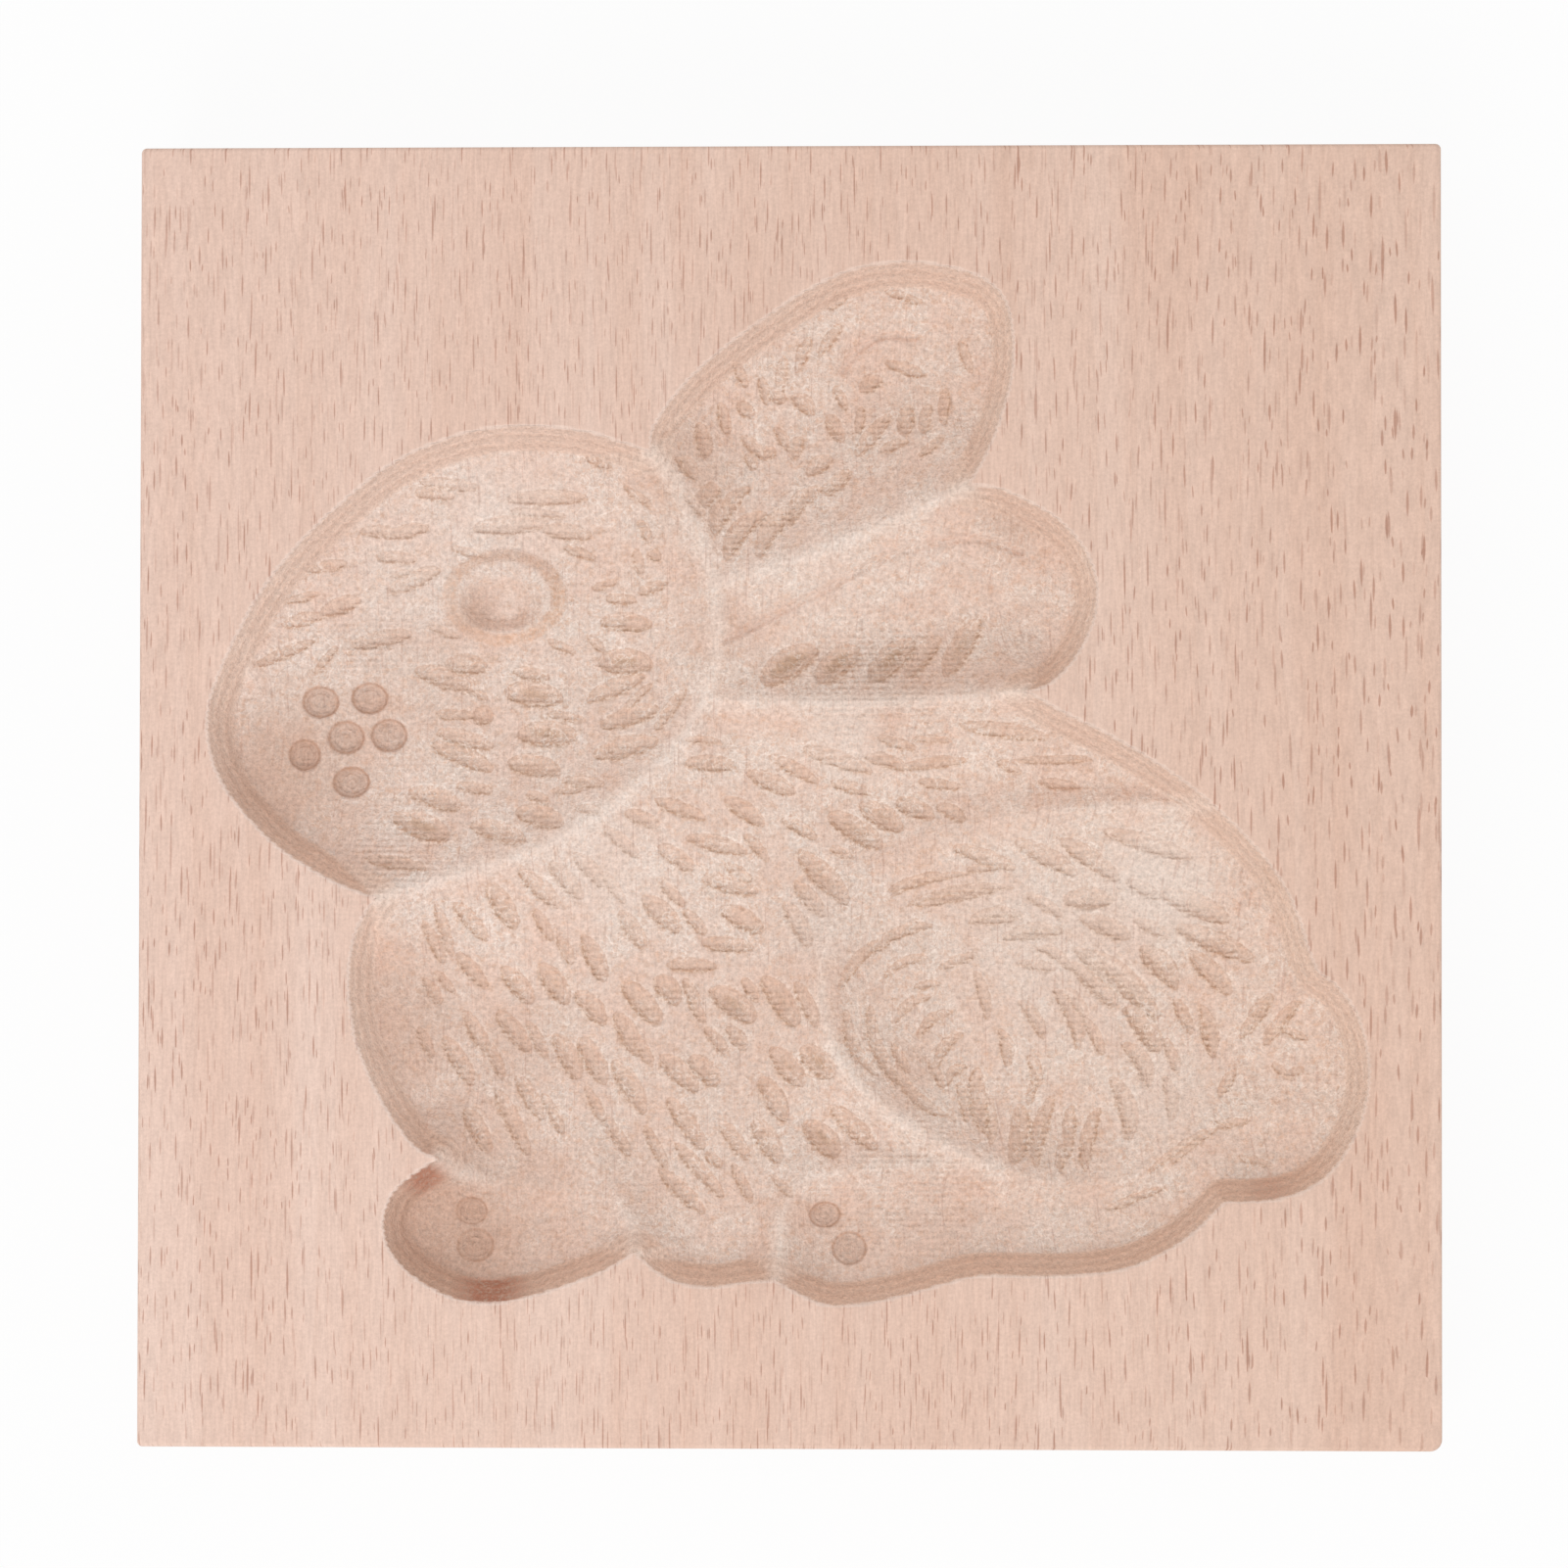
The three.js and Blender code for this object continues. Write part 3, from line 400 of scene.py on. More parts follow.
ear_tufts = [
    (755, 414, 770, 428, 15), (786, 400, 803, 412, 16), (810, 406, 833, 423, 18),
    (716, 434, 724, 471, 17), (765, 464, 772, 482, 13), (781, 470, 792, 459, 15),
    (826, 486, 851, 469, 17), (811, 470, 820, 447, 14), (879, 446, 882, 416, 10),
    (876, 468, 912, 424, 16), (930, 414, 926, 448, 17), (880, 400, 902, 387, 17),
    (719, 520, 735, 497, 20), (732, 548, 758, 512, 20, 6), (744, 574, 786, 526, 20, 8),
    (778, 572, 816, 524, 20, 8), (808, 540, 842, 500, 18, 7), (968, 398, 966, 436, 12),
    (846, 430, 862, 452, 16), (700, 468, 712, 492, 15), (846, 508, 872, 484, 15),
    (837, 664, 781, 700, 31), (879, 663, 838, 700, 29), (936, 656, 891, 698, 28),
    (962, 652, 928, 694, 19), (1002, 634, 968, 693, 25),
]
tail_tufts = [
    (1300, 1017, 1268, 1060, 14), (1326, 1022, 1292, 1066, 14), (1243, 1151, 1278, 1144, 9),
    (1130, 1234, 1193, 1211, 9), (1299, 1086, 1315, 1099, 9), (1313, 1100, 1331, 1090, 9),
]
shaken = floor + [
    [noise.noise((x * wander_waves, y * wander_waves, z)) * tuft_wander for z in (1.5, 7.5)] for x, y in floor
]
finer_tufts = [
    (737, 413, 744, 446, 13), (778, 386, 786, 416, 12), (803, 366, 799, 402, 13), (829, 346, 816, 382, 12),
    (861, 333, 838, 366, 12), (905, 372, 948, 386, 13), (951, 414, 944, 446, 12), (981, 350, 993, 384, 11),
    (758, 447, 784, 470, 13), (792, 438, 810, 463, 12), (846, 424, 862, 446, 12), (737, 518, 768, 500, 12),
    (780, 540, 812, 520, 12), (842, 506, 870, 482, 11), (694, 470, 714, 494, 12), (702, 506, 722, 530, 12),
    (752, 372, 764, 398, 11), (900, 464, 930, 452, 11), (940, 470, 968, 448, 10), (853, 396, 866, 420, 11),
    (905, 300, 945, 312, 9), (846, 318, 868, 306, 9), (640, 500, 668, 520, 9), (600, 470, 628, 482, 9),
    (346, 660, 322, 690, 8), (460, 560, 500, 570, 9), (576, 560, 610, 572, 10), (600, 650, 620, 668, 9),
    (560, 730, 600, 738, 10), (470, 700, 500, 716, 9), (540, 812, 566, 822, 11), (590, 826, 622, 832, 10),
    (438, 640, 470, 652, 9), (400, 590, 420, 584, 8), (560, 655, 590, 668, 9), (640, 726, 668, 700, 9),
    (548, 930, 566, 962, 13), (618, 892, 640, 924, 12), (700, 930, 722, 956, 13), (742, 884, 770, 902, 12),
    (800, 836, 836, 858, 14), (850, 800, 892, 812, 12), (940, 800, 984, 806, 11),
    (1060, 800, 1104, 806, 11), (700, 1000, 716, 1034, 12), (760, 1000, 776, 1024, 13),
    (556, 1118, 578, 1160, 13), (620, 1140, 646, 1182, 13), (650, 1060, 668, 1090, 13),
    (540, 1044, 560, 1082, 13), (500, 1066, 516, 1104, 12), (430, 1050, 444, 1082, 11),
    (600, 1110, 620, 1150, 12), (660, 1150, 684, 1196, 12), (704, 1020, 722, 1046, 12),
    (790, 1200, 812, 1222, 10), (988, 890, 1036, 882, 11), (1050, 914, 1086, 936, 13),
    (1040, 984, 1080, 990, 11), (1150, 900, 1186, 918, 14), (1160, 940, 1196, 958, 14),
    (1110, 1040, 1128, 1078, 12), (1140, 1120, 1158, 1156, 12), (1190, 1060, 1204, 1096, 13),
    (1200, 1020, 1218, 1056, 14), (1066, 1130, 1058, 1184, 11), (1012, 1118, 1014, 1168, 11),
    (980, 1104, 990, 1146, 11), (950, 1084, 966, 1112, 10), (934, 1010, 962, 1004, 9),
    (960, 990, 1000, 974, 10), (912, 1066, 930, 1096, 10), (1090, 1010, 1112, 1040, 13),
    (1060, 1100, 1052, 1128, 10), (1084, 1196, 1086, 1168, 10), (1110, 1196, 1106, 1164, 10),
    (1262, 1092, 1246, 1120, 11), (1290, 1060, 1328, 1022, 10), (1275, 1040, 1300, 1015, 10),
    (1172, 1197, 1232, 1152, 8), (1240, 1146, 1276, 1144, 7), (1306, 1050, 1336, 1062, 9),
    (1264, 1180, 1300, 1190, 8), (1290, 880, 1304, 910, 10),
]
gouged, lower_side, upper_side = np.zeros((3, len(floor)))
drawn_tufts = head_tufts + body_tufts + back_tufts + haunch_tufts + ear_tufts + tail_tufts + finer_tufts
for x1, y1, x2, y2, wide, *bow in drawn_tufts:
    start, end = np.array(place([(x1, y1), (x2, y2)], floor_depth))
    half = wide * unit / 2
    long = np.linalg.norm(end - start)
    along = (end - start) / long
    reached = np.flatnonzero(np.linalg.norm(shaken - (start + end) / 2, axis=1) < long / 2 + 2 * half)
    offset = shaken[reached] - start
    t = np.clip(offset @ along / long, 0, 1)
    spread = half * np.sqrt(4 * t * (1 - t)) + 1e-6
    downward = np.array([along[1], -along[0]]) * (1 if along[0] > 0 else -1)
    bowed = sum(bow) * unit * 4 * t * (1 - t)
    across = (offset @ downward + bowed) / spread + off_middle
    hollow = np.sqrt(4 * t * (1 - t)) * np.maximum(1 - across**2, 0)
    gouged[reached] = np.maximum(gouged[reached], hollow * 2 * half / tuft_width)
    for side, (middle, half_side, first, last) in zip((lower_side, upper_side), shaded_burr_and_lit_lip):
        share = 1 - np.abs(across - middle) / half_side
        on_side = (share > 0) & (t > first) & (t < last)
        side[reached[on_side]] = np.maximum(side[reached[on_side]], share[on_side])

# The whisker dots and toe dots
# Round hollows turned with a drill ground to a cone, which leaves fine rings on their slopes.
# Dots: x, y, half width and half height.
whisker_dot_depth = 0.6
toe_dot_depth = 0.3
dot_wall = 0.3  # the slope takes up this share of the way to the middle
whisker_dots = [
    (328, 718, 20, 17), (378, 714, 20, 17), (354, 754, 20, 18), (398, 752, 20, 18), (312, 772, 17, 17),
    (360, 800, 20, 17),
]
toe_dots = [
    (845, 1240, 17, 14), (870, 1274, 19, 18), (485, 1237, 17, 15), (489, 1272, 20, 18),
]


def inside_oval(x, y, half_wide, half_high):
    """1 on the middle of an oval, 0 on its edge."""
    centre = np.array(place([(x, y)], floor_depth)[0])
    return 1 - np.linalg.norm((floor - centre) / [half_wide * unit, half_high * unit], axis=1)


in_whisker_dot, in_toe_dot = (
    np.maximum(np.max([inside_oval(*dot) for dot in dots], axis=0), 0) for dots in (whisker_dots, toe_dots)
)
drilled = whisker_dot_depth * np.minimum(in_whisker_dot / dot_wall, 1)
drilled += toe_dot_depth * np.minimum(in_toe_dot / dot_wall, 1)

# The eye
# An oval boss is left standing in the cheek's floor, and the eyeball is hollowed out of it. Both
# ovals: x, y, half width and half height.
eye_raised = 0.9
eye_slope_run = 1.3
eyeball_depth = 1.0
eyeball_wall = 0.5  # the slope's share, as in the dots
eye_boss = (516, 611, 66, 51)
eyeball = (512, 618, 46, 29)
raised = np.clip(inside_oval(*eye_boss) / (eye_slope_run / (eye_boss[3] * unit)), 0, 1)
sunk = np.clip(inside_oval(*eyeball) / eyeball_wall, 0, 1)

# The inner ears
# A fine line, drawn with the corner of the gouge, runs round the inside of each ear.
inner_ear_depth = 0.45
inner_ear_width = 1.0
inner_ear_lines = [
    [(745, 655), (800, 627), (850, 602), (900, 576), (945, 561), (1000, 554), (1045, 566)],
    [(862, 380), (878, 359), (903, 345), (935, 346)],
]
lined = np.zeros(len(floor))
for line in inner_ear_lines:
    away = nearest(smooth_curve(place(line, floor_depth), line_step), False, floor, inner_ear_width)[0]
    lined = np.maximum(lined, np.maximum(1 - away * 2 / inner_ear_width, 0))

# On the wall, all that is worked into the floor gets shallower towards the rim.
worked = tuft_depth * gouged + drilled + eyeball_depth * sunk - eye_raised * raised + inner_ear_depth * lined
depth = np.maximum(depth + np.minimum(to_rim / wall_run, 1) * worked, shallowest)

# The skin of the board
# One closed surface: back, sides and face as planed, and the floor of the cut joined to the face
# along the rim. Only the cut, the eased arrises and the rounded corners are shaded smooth.
face_ring = np.array(board_rings[-1])[:, :2]
flat_points = np.vstack([face_ring, rim, floor, worn])
loops = []
for first, count in ((0, len(face_ring)), (len(face_ring), len(rim))):
    loops += [(first + i, first + (i + 1) % count) for i in range(count)]
inside_the_outline = 1  # the kind of triangles that are kept
merge_below = 1e-7
_, _, triangles, sources, _, _ = delaunay_2d_cdt(
    [Vector(p) for p in flat_points], loops, [], inside_the_outline, merge_below
)
source = np.array([s[0] for s in sources])
triangles = source[np.array(triangles)]
edge_1 = flat_points[triangles[:, 1]] - flat_points[triangles[:, 0]]
edge_2 = flat_points[triangles[:, 2]] - flat_points[triangles[:, 0]]
face_down = edge_1[:, 0] * edge_2[:, 1] - edge_1[:, 1] * edge_2[:, 0] < 0
triangles[face_down] = triangles[face_down][:, ::-1]
first_floor = len(face_ring) + len(rim)
first_worn = first_floor + len(floor)

height = np.full(len(flat_points), board_thickness)
height[first_floor:first_worn] -= depth
height[first_worn:] -= worn_drop * np.maximum(1 - off_rim / worn_width, 0) ** 2
height[len(face_ring):first_floor] -= worn_drop
top = np.column_stack([flat_points, height])
ring_size = len(face_ring)
lower = np.vstack(board_rings[:-1])
vertices = np.vstack([top, lower])
ring_starts = [len(top) + k * ring_size for k in range(len(board_rings) - 1)] + [0]
quads = []
for below, above in zip(ring_starts, ring_starts[1:]):
    for i in range(ring_size):
        j = (i + 1) % ring_size
        quads.append((below + i, below + j, above + j, above + i))
back = [ring_starts[0] + i for i in reversed(range(ring_size))]
mesh = bpy.data.meshes.new("board")
mesh.from_pydata((vertices * mm).tolist(), [], triangles.tolist() + quads + [back])
in_the_cut = (triangles >= ring_size).all(1)
side_band = len(board_rings) // 2 - 1
on_arris = np.repeat(np.arange(len(board_rings) - 1), ring_size) != side_band
between_corners = np.tile(np.arange(ring_size) % (corner_steps + 1) == corner_steps, len(board_rings) - 1)
smooth = np.concatenate([in_the_cut, on_arris | ~between_corners, [False]])
mesh.polygons.foreach_set("use_smooth", smooth)

# What the wood needs to know of the cut: the distance in from the rim in millimetres, and the shares
# of a full stroke, of the burr with its painted shade and the lip with its painted highlight at its
# edges, of a dot, eye boss, eyeball and high crest
on_rim, on_worn = np.zeros(len(rim)), np.zeros(len(worn))
far_outside = -board_width / 2
marks_of_tools = {
    "inward": (to_rim, -off_rim, far_outside),
    "stroke": (gouged, on_worn, 0.0),
    "burr_and_shade": (lower_side, on_worn, 0.0),
    "lip_and_highlight": (upper_side, on_worn, 0.0),
    "dot": (np.maximum(in_whisker_dot, in_toe_dot), on_worn, 0.0),
    "eye": (raised, on_worn, 0.0),
    "eyeball": (sunk, on_worn, 0.0),
    "crest": (on_crest, on_worn, 0.0),
}
for name, (on_floor, outside, elsewhere) in marks_of_tools.items():
    values = np.concatenate([
        np.full(len(face_ring), elsewhere), on_rim, on_floor, outside, np.full(len(lower), elsewhere)
    ]).astype(np.float32)
    mesh.attributes.new(name, "FLOAT", "POINT").data.foreach_set("value", values)
mesh.validate()
board = bpy.data.objects.new("board", mesh)
bpy.context.scene.collection.objects.link(board)
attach(board, "root")
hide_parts("mould_board")


# The wood
# Bare beech, planed on the face and cut across by the tools below. Brown ray flecks stand upright
# in the pale pink face; the rays run on inwards, so they show again in the floor of the cut.
def linear(code):
    """An sRGB hex colour as linear light."""
    channels = [int(code[i:i + 2], 16) / 255 for i in (1, 3, 5)]
    return tuple(c / 12.92 if c <= 0.04045 else ((c + 0.055) / 1.055) ** 2.4 for c in channels) + (1,)


def add(tree, kind, inputs=(), **settings):
    """Adds a node with its settings. Inputs, by place or by name, are values or what feeds them.

    By place, a MapRange turns 0 from the range 1 to 2 into the range 3 to 4, and a Mix goes by 0 from
    value 2 to 3 or from colour 6 to 7.
    """
    made = tree.nodes.new("ShaderNode" + kind)
    for name, value in settings.items():
        setattr(made, name, value)
    for key, value in inputs.items() if isinstance(inputs, dict) else enumerate(inputs):
        if isinstance(value, bpy.types.Node):
            value = next(out for out in value.outputs if out.enabled)
        if isinstance(value, bpy.types.NodeSocket):
            tree.links.new(value, made.inputs[key])
        else:
            made.inputs[key].default_value = value
    return made


beech = bpy.data.materials.new("beech, planed and gouge cut")
beech.use_nodes = True
tree = beech.node_tree
tree.nodes.clear()
here = add(tree, "TexCoord").outputs["Object"]
in_mm = add(tree, "VectorMath", {0: here, "Scale": 1 / mm}, operation="SCALE")
x, y, z = add(tree, "SeparateXYZ", [in_mm]).outputs

# The pith lay 75 mm behind the face, a little to the left, so the rings lie nearly flat in the board.
pith_x = -14.0
pith_z = -55.0
face_radius = board_thickness - pith_z
from_pith_x = add(tree, "Math", (x, pith_x), operation="SUBTRACT")
from_pith_z = add(tree, "Math", (z, pith_z), operation="SUBTRACT")
turn = add(tree, "Math", (from_pith_x, from_pith_z), operation="ARCTAN2")
round_pith = add(tree, "Math", (turn, face_radius), operation="MULTIPLY")
square = add(tree, "Math", (from_pith_x, from_pith_x), operation="MULTIPLY")
radius = add(tree, "Math", (from_pith_z, from_pith_z, square), operation="MULTIPLY_ADD")
radius = add(tree, "Math", (radius, 0.5), operation="POWER")
up_grain = add(tree, "Math", (y, 0.1), operation="MULTIPLY")
waver_size = 8.3  # the grain swerves this often across the board, and ten times less often along it
fleck_sway = 1.6  # how far it carries the flecks sideways
ring_sway = 5.0  # and the growth rings
waver = add(tree, "TexNoise", {
    "Vector": add(tree, "CombineXYZ", (round_pith, up_grain, radius)), "Scale": 1 / waver_size, "Detail": 2.0,
})
sideways = add(tree, "Math", (waver, fleck_sway, round_pith), operation="MULTIPLY_ADD")

# Beech rays show on the face as brown flecks, mostly 1 to 3 mm tall, staggered so that they stand in
# no rows. Each layer, in millimetres: width and height of a cell, half the width of a fleck, its
# shortest and longest half length; and the share of cells that hold one. The layers are shifted
# against each other.
stagger_reach = 16.0  # flecks side by side stand at heights up to this far apart
stagger = add(tree, "TexNoise", {
    "W": add(tree, "Math", (sideways, 0.37), operation="MULTIPLY"), "Scale": 1.0, "Detail": 1.0,
}, noise_dimensions="1D")
staggered = add(tree, "Math", (stagger, stagger_reach, y), operation="MULTIPLY_ADD")
flecks = 0.0
for layer, (cell_x, cell_y, half_x, short, tall, share_of_cells) in enumerate((
    (0.75, 3.6, 0.09, 0.7, 1.8, 0.65),
    (1.5, 6.0, 0.1, 1.3, 2.7, 0.6),
    (0.5, 2.0, 0.07, 0.4, 1.0, 0.3),
)):
    cell_across = add(tree, "Math", (sideways, 1 / cell_x, layer * 7.3), operation="MULTIPLY_ADD")
    cell_up = add(tree, "Math", (staggered, 1 / cell_y, layer * 3.1), operation="MULTIPLY_ADD")
    cell = add(tree, "CombineXYZ", (cell_across, cell_up, 0.0))
    spots = add(tree, "TexVoronoi", {
        "Vector": cell, "Scale": 1.0, "Randomness": 0.95,
    }, voronoi_dimensions="2D")
    offset = add(tree, "VectorMath", (cell, spots.outputs["Position"]), operation="SUBTRACT")
    off_x, off_y, _ = add(tree, "SeparateXYZ", [offset]).outputs
    tallness, chance, depth_of_colour = add(tree, "SeparateColor", [spots.outputs["Color"]]).outputs
    half_y = add(tree, "MapRange", {0: tallness, 3: short, 4: tall})
    beside = add(tree, "Math", [off_x], operation="ABSOLUTE")
    beside = add(tree, "Math", (beside, cell_x / half_x), operation="MULTIPLY")
    above = add(tree, "Math", (off_y, cell_y), operation="MULTIPLY")
    above = add(tree, "Math", (above, half_y), operation="DIVIDE")
    spindle = add(tree, "Math", (above, above, beside), operation="MULTIPLY_ADD")
    shown = add(tree, "MapRange", {0: spindle, 1: 1.0, 2: 0.4}, interpolation_type="SMOOTHSTEP")
    kept = add(tree, "Math", (chance, share_of_cells), operation="LESS_THAN")
    strength = add(tree, "MapRange", {0: depth_of_colour, 3: 0.2, 4: 1.0})
    strength = add(tree, "Math", (kept, strength), operation="MULTIPLY")
    strength = add(tree, "Math", (strength, shown), operation="MULTIPLY")
    flecks = add(tree, "Math", (strength, flecks), operation="MAXIMUM")

# Streaks along the grain, fine and broad, and the growth rings that run out at the face. Beech fibres
# are 0.02 mm thick; the fine streaks are drawn 0.22 mm wide, or they would not show.
ring_width = 2.6
fine_streak, broad_streak = (
    add(tree, "TexNoise", {"Vector": add(tree, "CombineXYZ", [
        add(tree, "Math", (way, size), operation="DIVIDE")
        for way, size in ((sideways, across), (y, along), (radius, inwards))
    ]), "Scale": 1.0, "Detail": octaves, "Roughness": 0.65})
    for across, along, inwards, octaves in ((0.22, 2.5, 3.2, 2.0), (6.25, 125.0, 10.0, 3.0))
)
ring = add(tree, "Math", (waver, ring_sway, radius), operation="MULTIPLY_ADD")
ring = add(tree, "Math", (ring, ring_width), operation="DIVIDE")
ring = add(tree, "Math", [ring], operation="FRACT")
late_wood = add(tree, "Math", (ring, 8.0), operation="POWER")
late_wood = add(tree, "Math", (late_wood, 0.15), operation="MULTIPLY")
paler = add(tree, "MapRange", {0: broad_streak, 1: 0.35, 2: 0.65})
planed = add(tree, "Mix", {0: paler, 6: linear("#e3c0ae"), 7: linear("#e8c9b9")}, data_type="RGBA")
planed = add(tree, "Mix", {0: late_wood, 6: planed, 7: linear("#d2ab96")}, data_type="RGBA")

# The cut: torn, fuzzy fibres, greyer and lighter in patches, and tan where a gouge went across them.
# Painted shade lies in darker tan patches over the floor, and browner painted shadow deep in the
# muzzle, the eye, the hind foot and the paw, where a wall shadows the floor. Places: x, y, reach in
# millimetres, and strength.
row_spacing = 0.54  # the tool went to and fro across the board in rows this far apart
wall_line_spacing = 0.7  # and round the wall in lines this far apart
# Painted shadow, browner, where a wall shadows the floor
painted_shadow_places = (
    (290, 790, 11.0, 0.9), (486, 626, 3.0, 0.8), (446, 1262, 14.0, 1.2), (835, 1262, 7.0, 0.4),
)
# Painted shade, in darker tan patches over the floor
painted_shade_places = (
    (400, 1040, 11.0, 0.75), (740, 1090, 12.0, 0.25), (620, 1200, 9.0, 0.35), (885, 1000, 9.0, 0.2),
    (420, 695, 10.0, 0.36), (530, 1075, 7.5, 0.5), (1045, 520, 6.0, 0.7), (705, 495, 7.0, 0.6),
    (950, 1240, 9.0, 0.3), (890, 706, 8.0, 0.25), (870, 420, 9.0, 0.1), (735, 640, 6.0, 0.3),
    (1080, 1190, 6.0, 0.35), (935, 1085, 6.0, 0.35), (372, 905, 4.0, 0.6),
)
reddened_places = ((440, 1200, 2.6, 1.0), (508, 1320, 4.0, 1.1), (1296, 1216, 3.0, 0.35))
lined_places = (
    (900, 706, 9.0, 1.0), (935, 1212, 9.0, 0.8), (370, 660, 6.0, 0.6), (400, 880, 7.0, 0.8),
)
pale_places = (
    (430, 590, 10.0, 0.25), (620, 890, 8.0, 0.4), (840, 590, 8.0, 0.15), (1080, 950, 13.0, 0.35),
    (865, 752, 4.5, 0.45), (1180, 905, 8.0, 0.7), (840, 950, 5.0, 0.35), (1065, 672, 4.0, 0.25),
    (1080, 1270, 8.0, 0.15), (1185, 1120, 6.0, 0.4), (510, 520, 9.0, 0.4),
)
inward, stroke, burr_and_shade, lip_and_highlight, dot, eye, eyeball, crest = (
    add(tree, "Attribute", attribute_name=name).outputs["Fac"] for name in marks_of_tools
)
_, facing_up, facing_out = add(tree, "SeparateXYZ", [add(tree, "NewGeometry").outputs["Normal"]]).outputs

# Torn wood, in millimetres: patches, tufts of fibres in two sizes, and grit, which stands for single
# fibres of 0.02 mm and is drawn 0.28 mm wide, or it would not show.
pattern_start = (31.3, 17.7, 5.4)
moved = add(tree, "VectorMath", (in_mm, pattern_start), operation="ADD")
patches, tint, pile, grit = (
    add(tree, "TexNoise", {"Vector": moved, "Scale": 1 / size, "Detail": octaves, "Roughness": roughness})
    for size, octaves, roughness in ((4.5, 3.0, 0.6), (0.77, 4.0, 0.8), (0.41, 2.0, 0.8), (0.28, 2.0, 0.8))
)

# Where things lie: the rows of the tool, in the cut, on its wall, facing up or down the board, in a
# stroke or a dot
tool_rows = add(tree, "Math", (y, 2 * math.pi / row_spacing), operation="MULTIPLY")
tool_rows = add(tree, "Math", [tool_rows], operation="SINE")
ragged = add(tree, "Math", (tint, 0.4, inward), operation="MULTIPLY_ADD")
ragged = add(tree, "Math", (tool_rows, 0.06, ragged), operation="MULTIPLY_ADD")
is_cut = add(tree, "MapRange", {0: ragged, 1: 0.12, 2: 0.3})
wall = add(tree, "MapRange", {0: ragged, 1: wall_run + 0.35, 2: wall_run + 0.05})
steep = add(tree, "MapRange", {0: facing_out, 1: 0.88, 2: 0.55})
facing_way = [add(tree, "MapRange", {0: facing_up, 1: 0.3 * way, 2: 0.8 * way}) for way in (1, -1)]
# Walls facing up the board are painted darker and more orange, partly for their end grain and partly as
# painted shade, for they face away from the lamp.
upright_end_grain_and_shade, hanging = (add(tree, "Math", (faces, wall), operation="MULTIPLY") for faces in facing_way)
in_stroke = add(tree, "MapRange", {0: stroke, 1: 0.03, 2: 0.16})
deep_stroke = add(tree, "MapRange", {0: stroke, 1: 1.25, 2: 1.65})
in_dot = add(tree, "MapRange", {0: dot, 1: 0.0, 2: 0.12})

# A line runs along each edge: where on the run of its form, how far off it has faded, and how far off
# it is still full. On the dots and the eye it is broken.
edges = []
for form, line_at, faded, full in (
    (ragged, 0.12, 0.2, 0.06), (stroke, 0.13, 0.12, 0.04), (dot, 0.12, 0.11, 0.03),
    (eye, 0.5, 0.5, 0.25), (eyeball, 0.5, 0.5, 0.25),
):
    off = add(tree, "Math", (form, line_at), operation="SUBTRACT")
    off = add(tree, "Math", [off], operation="ABSOLUTE")
    edges.append(add(tree, "MapRange", {0: off, 1: faded, 2: full}))
rim_fuzz_and_highlight, stroke_edge, dot_edge, eye_edge, ball_edge = edges
broken = add(tree, "MapRange", {0: tint, 1: 0.38, 2: 0.62, 3: 0.45})
dot_edge = add(tree, "Math", (dot_edge, broken), operation="MULTIPLY")
eye_edge = add(tree, "Math", (eye_edge, broken), operation="MULTIPLY")

# The drill left rings in each dot, some three of them from its middle to its edge.
rings_in_dot = 3.18
drill_rings = add(tree, "Math", (tint, 0.25, dot), operation="MULTIPLY_ADD")
drill_rings = add(tree, "Math", (drill_rings, 2 * math.pi * rings_in_dot), operation="MULTIPLY")
drill_rings = add(tree, "Math", [drill_rings], operation="SINE")
drill_rings = add(tree, "Math", (drill_rings, in_dot), operation="MULTIPLY")

# The places, found in plan, so that the depth of the cut doesn't count
in_plan = add(tree, "CombineXYZ", (x, y, 0.0))
in_places = []
for places in (painted_shadow_places, painted_shade_places, pale_places, lined_places, reddened_places):
    found = 0.0
    for drawn_x, drawn_y, spread, most in places:
        middle = (*place([(drawn_x, drawn_y)], floor_depth)[0], 0.0)
        distance = add(tree, "VectorMath", (in_plan, middle), operation="DISTANCE").outputs["Value"]
        near = add(tree, "MapRange", {0: distance, 1: spread, 2: 0.3 * spread, 4: most})
        found = add(tree, "Math", (near, found), operation="MAXIMUM")
    in_places.append(found)
painted_shadow, painted_shade, pale, lined_place, reddened = in_places
reddened = add(tree, "Math", (reddened, wall), operation="MULTIPLY")

# Torn tufts stand on the burrs, the lips, the crests of the ridges and the reddened wood, and light
# fibres curl in patches. The light speckles on the lips are also a painted highlight.
speckled = []
for under, least, all_torn in ((reddened, 0.3, 0.55), (burr_and_shade, 0.45, 0.6), (lip_and_highlight, 0.4, 0.6)):
    torn = add(tree, "MapRange", {0: pile, 1: least, 2: all_torn})
    speckled.append(add(tree, "Math", (under, torn), operation="MULTIPLY"))
reddened, speckled_burr, speckled_lip_highlight = speckled
torn_crest = add(tree, "Math", (pile, 0.9, crest), operation="MULTIPLY_ADD")
torn_crest = add(tree, "MapRange", {0: torn_crest, 1: 0.6, 2: 1.2})
curl_size = 0.95
curls = add(tree, "TexNoise", {"Vector": moved, "Scale": 1 / curl_size, "Detail": 1.0, "Distortion": 1.4})
curls = add(tree, "Math", (curls, 0.5), operation="SUBTRACT")
curls = add(tree, "Math", [curls], operation="ABSOLUTE")
curls = add(tree, "MapRange", {0: curls, 1: 0.045, 2: 0.01})
curled_patches = add(tree, "MapRange", {0: patches, 1: 0.42, 2: 0.56})
curls = add(tree, "Math", (curls, curled_patches), operation="MULTIPLY")

